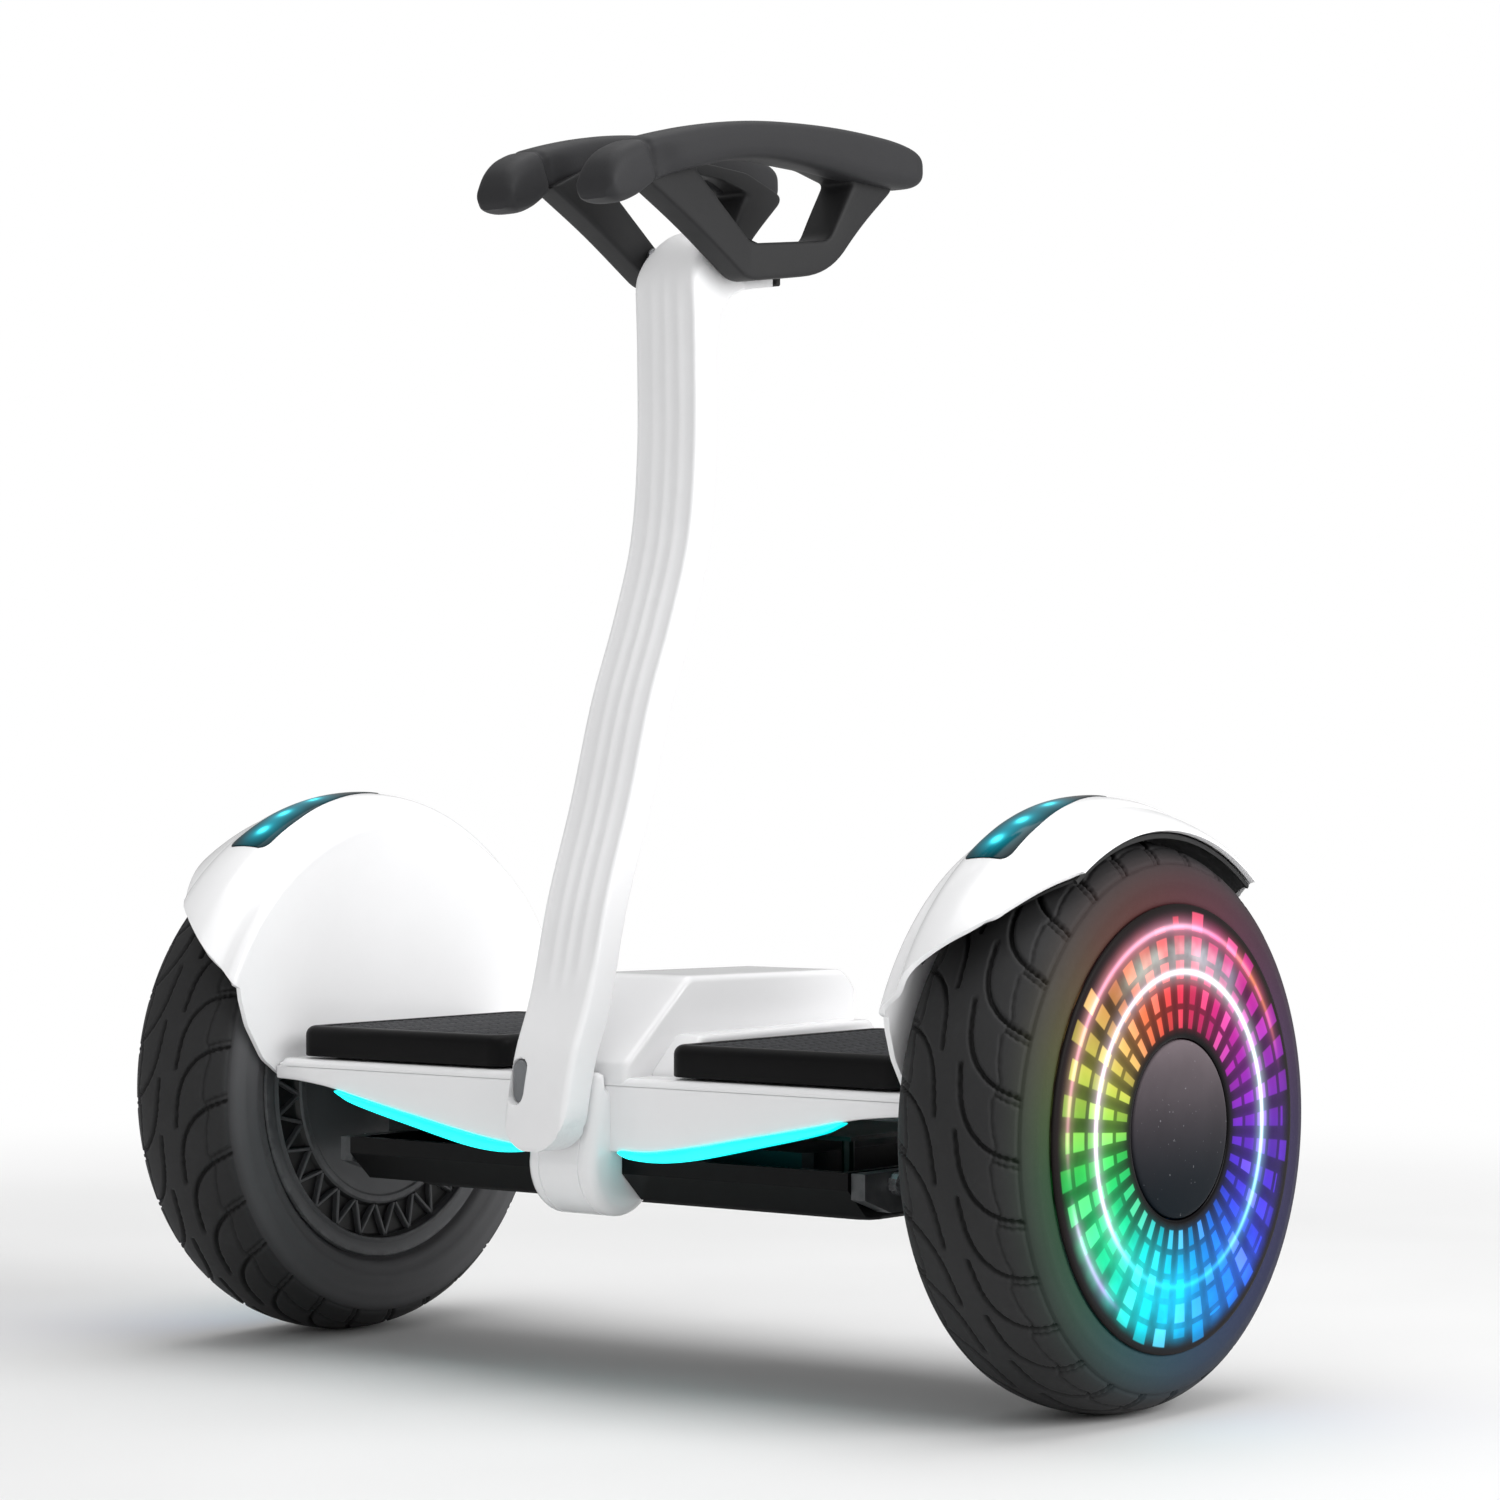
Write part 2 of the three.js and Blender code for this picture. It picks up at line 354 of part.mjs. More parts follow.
// ---------- sides ----------
for (const [s, side] of [[1, 'right'], [-1, 'left']]) {
  add(`tyre_${side}`, wheelLathe(tyreProfile, N, s), RUBBER, 0.85, 0.0);
  add(`hub_rim_${side}`, wheelLathe(rimProfile, NH, s, false), 0x3c3d3f, 0.5, 0.6);
  add(`hub_cover_${side}`, wheelLathe(coverProfile, NH, s), 0x48494b, 0.5, 0.5);
  add(`light_disc_${side}`, wheelLathe(discProfile, NH, s), 0x5a4fb0, 0.2, 0.0);
  add(`hub_cap_${side}`, wheelLathe(capProfile, NH, s, false), 0x2d2e31, 0.5, 0.1);
  add(`magnet_ring_${side}`, wheelLathe(magnetProfile, NS, s), ALLOY, 0.4, 0.8);
  add(`stator_${side}`, wheelLathe(statorProfile, NS, s), COPPER, 0.5, 0.6);
  add(`axle_${side}`, wheelLathe(axleProfile, NS, s, false), STEEL, 0.35, 0.9);
  add(`bearing_inner_${side}`, wheelLathe(bearingIn, NS, s), STEEL, 0.3, 0.9);
  add(`bearing_outer_${side}`, wheelLathe(bearingOut, NS, s), STEEL, 0.3, 0.9);
  add(`fender_${side}`, fender(s), WHITE, 0.25, 0.0);
  add(`fender_liner_${side}`, liner(s), BLACK, 0.8, 0.0);
  add(`lamp_lens_${side}`, lampBand(s, -1.9, 0.3, 0), 0x0b1d22, 0.1, 0.0);
  const endPlate = prismX([[-82, 96], [-82, 107.6], [-30, 107.6], [-24, 138.5], [24, 138.5], [30, 107.6], [82, 107.6], [82, 96], [62, 89], [-62, 89]], s * 150.4, s * 158);
  const block = prismX([[-20, 100], [-20, 138.5], [20, 138.5], [20, 100]], s * 151, s * 185, 1.5);
  const arm = prismX([[-45, 99], [45, 99], [40, 90.5], [-40, 90.5]], s * 152, s * 184);
  const bore = latheX([[0, 140], [8.4, 140], [8.4, 200], [0, 200]], NS, s, 0, R);
  add(`axle_clamp_${side}`, cut(join(endPlate, block, arm), bore, boltHole(s, BOLT_Y), boltHole(s, -BOLT_Y)), 0x2a2b2d, 0.5, 0.7);
  for (const [n, y] of [['front', -BOLT_Y], ['rear', BOLT_Y]])
    add(`clamp_bolt_${n}_${side}`, latheX([[0, 140], [3, 140], [3, 158.3], [5.2, 158.3], [5.2, 162.6], [0, 162.6]], 12, s, y, BOLT_Z), STEEL, 0.35, 0.9);
  const strip = [[25, 110], [35, 107.4], [46, 106.6], [60, 107.3], [74, 109.2], [105, 115.1], [143, 123.2], [152.5, 129], [152.5, 131.1], [140, 129.1], [105, 123.7], [70, 117.3], [42, 113.3], [25, 112.9]];
  add(`led_strip_${side}`, prismY(strip.map(([x, z]) => [s * x, z]), -93.5, -87), CYAN, 0.3, 0.0);
  const px = [50, 181];
  add(`foot_pad_${side}`, prismZ(rect(...(s > 0 ? px : [-px[1], -px[0]]), -88, 74, 9, 3), PAD_Z0, PAD_Z1, 1.5), 0x18191a, 0.8, 0.0);
  add(`foot_switch_${side}`, join(box(s * SWITCH_X - 12, s * SWITCH_X + 12, SWITCH_Y - 9, SWITCH_Y + 9, 136, DECK_TOP - WALL - GAP),
    box(s * SWITCH_X - 7, s * SWITCH_X + 7, SWITCH_Y - 5, SWITCH_Y + 5, 138, 144.9)), 0x26272a, 0.6, 0.0);
  add(`handle_frame_${side}`, handle(s), GRIP, 0.75, 0.0);
}

export default group;
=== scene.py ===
import math

import bmesh
import bpy
import numpy as np
from mathutils import Matrix, Vector
from mathutils.geometry import delaunay_2d_cdt


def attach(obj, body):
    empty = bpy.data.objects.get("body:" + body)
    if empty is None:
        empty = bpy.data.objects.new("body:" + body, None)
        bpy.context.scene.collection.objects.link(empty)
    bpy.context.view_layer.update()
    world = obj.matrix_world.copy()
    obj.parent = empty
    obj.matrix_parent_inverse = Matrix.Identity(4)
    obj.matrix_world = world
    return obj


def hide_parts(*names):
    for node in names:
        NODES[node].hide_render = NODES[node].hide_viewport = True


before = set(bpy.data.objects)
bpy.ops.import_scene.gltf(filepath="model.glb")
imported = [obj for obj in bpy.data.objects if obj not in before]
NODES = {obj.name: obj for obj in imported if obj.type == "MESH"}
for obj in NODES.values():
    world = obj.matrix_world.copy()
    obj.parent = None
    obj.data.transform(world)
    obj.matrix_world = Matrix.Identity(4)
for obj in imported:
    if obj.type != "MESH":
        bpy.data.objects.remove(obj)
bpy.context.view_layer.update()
MM = 0.001
R, T = 128.0, 232.0
rad = math.radians


# ------------------------------------------------------------------ curves
def hermite(points, per=6, closed=False):
    """A smooth curve through the points, per samples to a span."""
    p = np.asarray(points, float)
    if closed:
        p = np.vstack([p[-2:], p, p[:3]])
    d = np.r_[0, np.cumsum(np.maximum(np.linalg.norm(np.diff(p, axis=0), axis=1), 1e-6))]
    m = np.zeros_like(p)
    for i in range(len(p)):
        a, b = max(i - 1, 0), min(i + 1, len(p) - 1)
        m[i] = (p[b] - p[a]) / (d[b] - d[a])
    out = []
    first, last = (2, len(p) - 3) if closed else (0, len(p) - 1)
    for i in range(first, last):
        h = d[i + 1] - d[i]
        for k in range(per):
            t = k / per
            out.append((2 * t**3 - 3 * t**2 + 1) * p[i] + (t**3 - 2 * t**2 + t) * h * m[i]
                       + (-2 * t**3 + 3 * t**2) * p[i + 1] + (t**3 - t**2) * h * m[i + 1])
    if not closed:
        out.append(p[-1])
    return np.array(out)


def resample(points, n=None, step=None, closed=False):
    p = np.asarray(points, float)
    if closed:
        p = np.vstack([p, p[:1]])
    d = np.r_[0, np.cumsum(np.linalg.norm(np.diff(p, axis=0), axis=1))]
    n = n or max(2, int(round(d[-1] / step)) + 1)
    s = np.linspace(0, d[-1], n + 1 if closed else n)
    q = np.stack([np.interp(s, d, p[:, i]) for i in range(p.shape[1])], 1)
    return q[:-1] if closed else q


def rounded(points, r, n=5, closed=True):
    """Corners of a polygon turned into arcs of radius about r."""
    p = np.asarray(points, float)
    out = []
    k = len(p)
    for i in range(k):
        if not closed and i in (0, k - 1):
            out.append(p[i])
            continue
        a, b, c = p[i - 1], p[i], p[(i + 1) % k]
        ri = r[i] if hasattr(r, "__len__") else r
        u, v = a - b, c - b
        lu, lv = np.linalg.norm(u), np.linalg.norm(v)
        u, v = u / lu, v / lv
        ang = math.acos(float(np.clip(u @ v, -1, 1)))
        if ri < 1e-6 or ang > math.pi - 0.02:
            out.append(b)
            continue
        t = min(ri / math.tan(ang / 2), 0.48 * lu, 0.48 * lv)
        p0, p1 = b + u * t, b + v * t
        for j in range(n + 1):
            s = j / n
            out.append((1 - s) ** 2 * p0 + 2 * s * (1 - s) * b + s**2 * p1)
    return np.array(out)


def normals2(p, closed=True):
    """Left-hand normals of a polyline."""
    if closed:
        t = np.roll(p, -1, 0) - np.roll(p, 1, 0)
    else:
        t = np.gradient(p, axis=0)
    t /= np.maximum(np.linalg.norm(t, axis=1, keepdims=True), 1e-9)
    return np.stack([-t[:, 1], t[:, 0]], 1)


def area2(p):
    x, y = p[:, 0], p[:, 1]
    return 0.5 * float(np.sum(x * np.roll(y, -1) - y * np.roll(x, -1)))


def smooth01(x, a=0.0, b=1.0):
    t = np.clip((x - a) / (b - a), 0, 1)
    return t * t * (3 - 2 * t)


# ------------------------------------------------------------------ meshes
PIECES = []


def mk(name, verts, faces, material, body, nodes=(), sharp=32.0, fix=True):
    me = bpy.data.meshes.new(name)
    v = np.asarray(verts, float).reshape(-1, 3) * MM
    me.from_pydata([tuple(p) for p in v], [], [tuple(int(i) for i in f) for f in faces])
    me.validate()
    ob = bpy.data.objects.new(name, me)
    bpy.context.scene.collection.objects.link(ob)
    if fix:
        bm = bmesh.new()
        bm.from_mesh(me)
        bmesh.ops.remove_doubles(bm, verts=bm.verts, dist=1e-6)
        # the tiny rings on the axis of a turned piece close to one point
        bmesh.ops.remove_doubles(bm, verts=[w for w in bm.verts if w.is_boundary], dist=6e-5)
        bmesh.ops.recalc_face_normals(bm, faces=bm.faces)
        bm.to_mesh(me)
        bm.free()
    shade(ob, sharp)
    me.materials.append(material)
    if body:
        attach(ob, body)
    for n in nodes:
        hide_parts(n)
    PIECES.append(ob)
    return ob


def shade(ob, sharp=32.0):
    me = ob.data
    me.polygons.foreach_set("use_smooth", np.ones(len(me.polygons), bool))
    if sharp < 180:
        me.set_sharp_from_angle(angle=rad(sharp))
    me.update()


def grid_faces(rows, cols, wrap_rows=False, wrap_cols=False, base=0):
    out = []
    for i in range(rows if wrap_rows else rows - 1):
        i2 = (i + 1) % rows
        for j in range(cols if wrap_cols else cols - 1):
            j2 = (j + 1) % cols
            out.append((base + i * cols + j, base + i * cols + j2, base + i2 * cols + j2, base + i2 * cols + j))
    return out


def apply_modifiers(ob):
    dg = bpy.context.evaluated_depsgraph_get()
    me = bpy.data.meshes.new_from_object(ob.evaluated_get(dg))
    old = ob.data
    ob.modifiers.clear()
    ob.data = me
    bpy.data.meshes.remove(old)


def clean_inset(o, nn, d):
    """The outline moved in by d, with the loops that form at tight corners closed up."""
    q = o + nn * d
    if d < 0.05:
        return q
    ab = np.roll(o, -1, 0) - o
    l2 = np.maximum((ab**2).sum(1), 1e-9)
    t = np.clip(((q[:, None] - o[None]) * ab[None]).sum(2) / l2[None], 0, 1)
    m = np.linalg.norm(q[:, None] - o[None] - t[..., None] * ab[None], axis=2).min(1)
    bad = m < d * 0.985 - 0.01
    if not bad.any() or bad.all():
        return q
    n = len(q)
    start = int(np.argmin(bad))
    i = 0
    while i < n:
        k = (start + i) % n
        if not bad[k]:
            i += 1
            continue
        j = i
        while bad[(start + j) % n]:
            j += 1
        a, b = q[(start + i - 1) % n], q[(start + j) % n]
        for c in range(i, j):
            q[(start + c) % n] = (a + b) / 2
        i = j
    return q


def cap_faces(p2, base):
    """Triangles that fill a closed outline, by the index of its points."""
    pts = [Vector((float(a), float(b))) for a, b in p2]
    out = delaunay_2d_cdt(pts, [], [list(range(len(pts)))], 1, 1e-5)
    names = [o[0] if o else None for o in out[3]]
    faces = []
    for f in out[2]:
        ids = [names[i] for i in f]
        if None in ids:
            continue
        faces.append(tuple(base + i for i in ids))
    return faces


def layered(outline, xs, inset, place, extra=None):
    """Closed body built of outlines in (p, q) at stations xs, each inset by inset(x) along its own normals."""
    o = np.asarray(outline, float)
    nn = normals2(o)
    if area2(o) < 0:
        nn = -nn
    n = len(o)
    verts = []
    for x in xs:
        q = clean_inset(o, nn, inset(x))
        verts += [place(x, p) for p in q]
    faces = grid_faces(len(xs), n, wrap_cols=True)
    faces += cap_faces(clean_inset(o, nn, inset(xs[0])), 0)
    faces += cap_faces(clean_inset(o, nn, inset(xs[-1])), (len(xs) - 1) * n)
    return verts, faces


def cap_edges(half, r, n=5, mid=2, groove=()):
    """Stations across a width 2*half with the ends rounded by r, and the inset at each."""
    st = []
    for i in range(n + 1):
        a = math.pi / 2 * i / n
        st.append((half - r + r * math.sin(a), r * (1 - math.cos(a))))
    flat = list(np.linspace(0, half - r, mid + 1)[:-1])
    xs = [(x, 0.0) for x in flat] + st
    for g, w, d in groove:
        xs = [s for s in xs if abs(s[0] - g) > w * 1.2] + [(g - w, 0.0), (g - w * 0.35, d), (g + w * 0.35, d), (g + w, 0.0)]
    xs = sorted(xs)
    full = [(-x, d) for x, d in xs[::-1] if x > 1e-9] + xs
    return [f[0] for f in full], dict((round(f[0], 6), f[1]) for f in full)


def on_wheel(s, a, r, th):
    return (s * (T + a), r * math.sin(th), R + r * math.cos(th))


def lathe(name, profile, s, material, body, nodes=(), n=160, closed=True, sharp=30.0):
    p = np.asarray(profile, float)
    th = np.linspace(0, 2 * math.pi, n, endpoint=False)
    verts = []
    for r, a in p:
        verts.append(np.stack([np.full(n, s * (T + a)), r * np.sin(th), R + r * np.cos(th)], 1))
    v = np.vstack(verts)
    f = grid_faces(len(p), n, wrap_rows=closed, wrap_cols=True)
    return mk(name, v, f, material, body, nodes, sharp)


# ------------------------------------------------------------------ shader maths
class E:
    def __init__(self, nt, sock):
        self.nt, self.s = nt, sock

    def _op(self, op, *args, clamp=False):
        n = self.nt.nodes.new("ShaderNodeMath")
        n.operation = op
        n.use_clamp = clamp
        for i, a in enumerate((self, *args)):
            if isinstance(a, E):
                self.nt.links.new(a.s, n.inputs[i])
            else:
                n.inputs[i].default_value = float(a)
        return E(self.nt, n.outputs[0])

    def __add__(self, o): return self._op("ADD", o)
    def __radd__(self, o): return self._op("ADD", o)
    def __sub__(self, o): return self._op("SUBTRACT", o)
    def __rsub__(self, o): return const(self.nt, o)._op("SUBTRACT", self)
    def __mul__(self, o): return self._op("MULTIPLY", o)
    def __rmul__(self, o): return self._op("MULTIPLY", o)
    def __truediv__(self, o): return self._op("DIVIDE", o)
    def gt(self, o): return self._op("GREATER_THAN", o)
    def lt(self, o): return self._op("LESS_THAN", o)
    def abs(self): return self._op("ABSOLUTE")
    def floor(self): return self._op("FLOOR")
    def fract(self): return self._op("FRACT")
    def sin(self): return self._op("SINE")
    def exp(self): return self._op("EXPONENT")
    def pow(self, o): return self._op("POWER", o)
    def min(self, o): return self._op("MINIMUM", o)
    def max(self, o): return self._op("MAXIMUM", o)
    def clamp(self): return self._op("ADD", 0.0, clamp=True)

    def step(self, lo, hi):
        """0 below lo, 1 above hi, smooth between."""
        n = self.nt.nodes.new("ShaderNodeMapRange")
        n.interpolation_type = "SMOOTHSTEP"
        self.nt.links.new(self.s, n.inputs[0])
        n.inputs[1].default_value, n.inputs[2].default_value = lo, hi
        n.inputs[3].default_value, n.inputs[4].default_value = 0.0, 1.0
        return E(self.nt, n.outputs[0])

    def gauss(self, centre, width):
        d = (self - centre) * (1.0 / width)
        return (d * d * -1.0).exp()


def const(nt, v):
    n = nt.nodes.new("ShaderNodeValue")
    n.outputs[0].default_value = float(v)
    return E(nt, n.outputs[0])


def coords(nt):
    n = nt.nodes.new("ShaderNodeTexCoord")
    return n.outputs["Object"]


def split(nt, sock):
    n = nt.nodes.new("ShaderNodeSeparateXYZ")
    nt.links.new(sock, n.inputs[0])
    return [E(nt, n.outputs[i]) for i in range(3)]


def noise(nt, vec, scale, detail=3.0, rough=0.55, seed=0.0, dims="3D"):
    n = nt.nodes.new("ShaderNodeTexNoise")
    n.noise_dimensions = "4D" if seed else dims
    nt.links.new(vec, n.inputs["Vector"])
    n.inputs["Scale"].default_value = scale
    n.inputs["Detail"].default_value = detail
    n.inputs["Roughness"].default_value = rough
    if seed:
        n.inputs["W"].default_value = seed
    return E(nt, n.outputs[0])


def voronoi(nt, vec, scale, feature="F1", out="Distance", rnd=1.0):
    n = nt.nodes.new("ShaderNodeTexVoronoi")
    n.feature = feature
    nt.links.new(vec, n.inputs["Vector"])
    n.inputs["Scale"].default_value = scale
    n.inputs["Randomness"].default_value = rnd
    return n.outputs[out]


def white(nt, vec_sock):
    n = nt.nodes.new("ShaderNodeTexWhiteNoise")
    n.noise_dimensions = "3D"
    nt.links.new(vec_sock, n.inputs[0])
    return E(nt, n.outputs[0])


def join3(nt, a, b, c):
    n = nt.nodes.new("ShaderNodeCombineXYZ")
    for i, v in enumerate((a, b, c)):
        if isinstance(v, E):
            nt.links.new(v.s, n.inputs[i])
        else:
            n.inputs[i].default_value = float(v)
    return n.outputs[0]


def scaled(nt, sock, sx, sy, sz):
    n = nt.nodes.new("ShaderNodeVectorMath")
    n.operation = "MULTIPLY"
    nt.links.new(sock, n.inputs[0])
    n.inputs[1].default_value = (sx, sy, sz)
    return n.outputs[0]


def mix(nt, fac, a, b, mode="MIX"):
    n = nt.nodes.new("ShaderNodeMix")
    n.data_type = "RGBA"
    n.blend_type = mode
    n.clamp_factor = True
    if isinstance(fac, E):
        nt.links.new(fac.s, n.inputs[0])
    else:
        n.inputs[0].default_value = float(fac)
    for i, v in ((6, a), (7, b)):
        if isinstance(v, (tuple, list)):
            n.inputs[i].default_value = (*v[:3], 1.0)
        else:
            nt.links.new(v.s if isinstance(v, E) else v, n.inputs[i])
    return n.outputs[2]


def ramp(nt, fac, stops, interp="LINEAR"):
    n = nt.nodes.new("ShaderNodeValToRGB")
    nt.links.new(fac.s, n.inputs[0])
    cr = n.color_ramp
    cr.interpolation = interp
    while len(cr.elements) > 1:
        cr.elements.remove(cr.elements[-1])
    cr.elements[0].position = stops[0][0]
    cr.elements[0].color = (*stops[0][1], 1)
    for pos, c in stops[1:]:
        e = cr.elements.new(pos)
        e.color = (*c, 1)
    return n.outputs[0]


def lin(r, g, b):
    f = lambda c: c / 12.92 if c <= 0.04045 else ((c + 0.055) / 1.055) ** 2.4
    return (f(r / 255), f(g / 255), f(b / 255))


def base_material(name, coat=0.0, coat_rough=0.1, metallic=0.0, sheen=0.0, sheen_rough=0.4, ior=1.5, spec=0.5):
    m = bpy.data.materials.new(name)
    m.use_nodes = True
    nt = m.node_tree
    bsdf = nt.nodes["Principled BSDF"]
    bsdf.inputs["Metallic"].default_value = metallic
    bsdf.inputs["Coat Weight"].default_value = coat
    bsdf.inputs["Coat Roughness"].default_value = coat_rough
    bsdf.inputs["Sheen Weight"].default_value = sheen
    bsdf.inputs["Sheen Roughness"].default_value = sheen_rough
    bsdf.inputs["IOR"].default_value = ior
    bsdf.inputs["Specular IOR Level"].default_value = spec
    return m, nt, bsdf


def bump(nt, bsdf, height, strength=0.2, distance=0.0002):
    n = nt.nodes.new("ShaderNodeBump")
    n.inputs["Strength"].default_value = strength
    n.inputs["Distance"].default_value = distance
    nt.links.new(height.s if isinstance(height, E) else height, n.inputs["Height"])
    nt.links.new(n.outputs[0], bsdf.inputs["Normal"])


def link(nt, a, b):
    nt.links.new(a.s if isinstance(a, E) else a, b)


def finish_mat(name, color, rough, var=0.06, rough_var=0.08, grain=900.0, grain_h=0.15, grain_d=0.00015, speck=0.0,
               wear=0.0, wear_color=None, **kw):
    """Colour cloud, roughness cloud, fine grain and worn edges."""
    m, nt, b = base_material(name, **kw)
    v = coords(nt)
    cloud = noise(nt, v, 9.0, 4.0, 0.6)
    fine = noise(nt, v, 140.0, 3.0, 0.6, seed=2.0)
    c = np.array(color)
    col = mix(nt, cloud.step(0.3, 0.7), tuple(c * (1 - var)), tuple(np.minimum(c * (1 + var), 1.0)))
    col = mix(nt, fine.step(0.45, 0.75) * 0.25, col, tuple(c * (1 - 1.4 * var)))
    if wear > 0:
        g = nt.nodes.new("ShaderNodeNewGeometry")
        edge = E(nt, g.outputs["Pointiness"]).step(0.515, 0.56) * fine.step(0.4, 0.6) * wear
        col = mix(nt, edge, col, wear_color or tuple(np.minimum(c * 1.8 + 0.05, 1)))
    link(nt, col, b.inputs["Base Color"])
    ro = cloud * (2 * rough_var) + (rough - rough_var) + (fine - 0.5) * (rough_var * 0.8)
    link(nt, ro.clamp(), b.inputs["Roughness"])
    gr = noise(nt, v, grain, 2.0, 0.6, seed=5.0)
    h = gr
    if speck:
        h = gr * (1 - speck) + E(nt, voronoi(nt, v, grain * 0.6)) * speck
    bump(nt, b, h, grain_h, grain_d)
    return m


# the colour round the disc, by the clock from the top, in display values
CLOCK = [(0, (236, 52, 84)), (22, (236, 40, 120)), (42, (214, 30, 158)), (65, (176, 30, 196)), (92, (118, 36, 214)), (112, (78, 44, 222)),
         (130, (46, 70, 232)), (150, (22, 120, 240)), (168, (0, 160, 244)), (184, (0, 190, 240)), (205, (0, 208, 214)), (228, (18, 210, 150)),
         (246, (16, 200, 110)), (262, (50, 206, 84)), (276, (150, 222, 76)), (292, (214, 218, 86)), (308, (236, 190, 98)), (325, (242, 130, 78)), (342, (240, 84, 62)), (360, (236, 52, 84))]


def wheel_polar(nt, s):
    """Radius in mm from the wheel axis and the clock angle in degrees, the clock read from the outer side."""
    x, y, z = split(nt, coords(nt))
    zz = z - R * MM
    r = ((y * y + zz * zz)._op("SQRT")) * 1000.0
    n = nt.nodes.new("ShaderNodeMath")
    n.operation = "ARCTAN2"
    link(nt, y * float(s), n.inputs[0])
    link(nt, zz, n.inputs[1])
    ang = E(nt, n.outputs[0]) * (180.0 / math.pi)
    ang = (ang / 360.0 + 1.0).fract() * 360.0
    return r, ang, x, y, z


def clock_ramp(nt, ang, gain=1.0, seed=0):
    return ramp(nt, ang / 360.0, [(a / 360.0, tuple(gain * c for c in lin(*col))) for a, col in CLOCK])


def tyre_material(s):
    m, nt, b = base_material("tyre_rubber_" + ("r" if s > 0 else "l"), spec=0.36)
    v = coords(nt)
    r, ang, x, y, z = wheel_polar(nt, s)
    cloud = noise(nt, v, 14.0, 4.0, 0.6)
    fine = noise(nt, v, 380.0, 3.0, 0.65, seed=3.0)
    c = np.array(lin(35, 35, 36))
    col = mix(nt, cloud.step(0.3, 0.7), tuple(c * 0.82), tuple(c * 1.15))
    # painted light: the inboard sidewall is painted lighter to stand in for light falling on it
    painted_light_sidewall = (1.0 - (r - 112.0).step(0.0, 8.0)) * (1.0 - ((x * float(s)) * 1000.0 - T).step(-20.0, 10.0))
    col = mix(nt, painted_light_sidewall * (cloud * 0.5 + 0.6), col, tuple(c * 5.4))
    # dust and scuffing on the running face; painted shade darkens the grooves by their depth
    attr = nt.nodes.new("ShaderNodeAttribute")
    attr.attribute_name = "groove"
    groove_shade = E(nt, attr.outputs["Fac"])
    col = mix(nt, groove_shade.step(0.05, 0.75), col, tuple(c * 0.22))
    scuff = noise(nt, scaled(nt, v, 1.0, 1.0, 1.0), 60.0, 5.0, 0.7, seed=9.0).step(0.52, 0.7) * r.step(121.0, 127.0) * 0.35
    col = mix(nt, scuff, col, tuple(c * 1.7))
    # light spilling from the disc on the shoulder
    outer = ((x * float(s)) * 1000.0 - T).step(14.0, 32.0)
    tint = clock_ramp(nt, ang, 0.13)
    spill = outer * (1.0 - (r - 98.0).step(0.0, 28.0)) * 0.5
    col = mix(nt, spill, col, tint)
    link(nt, col, b.inputs["Base Color"])
    link(nt, (cloud * 0.16 + 0.52 + fine * 0.14).clamp(), b.inputs["Roughness"])
    rings = ((r * 2.1).sin() * 0.5 + 0.5) * (1.0 - (r - 110.0).step(0.0, 6.0)) * 0.5
    bump(nt, b, fine * 0.6 + noise(nt, v, 1500.0, 2.0, 0.6, seed=4.0) * 0.4 + rings * 0.5, 0.28, 0.00022)
    return m


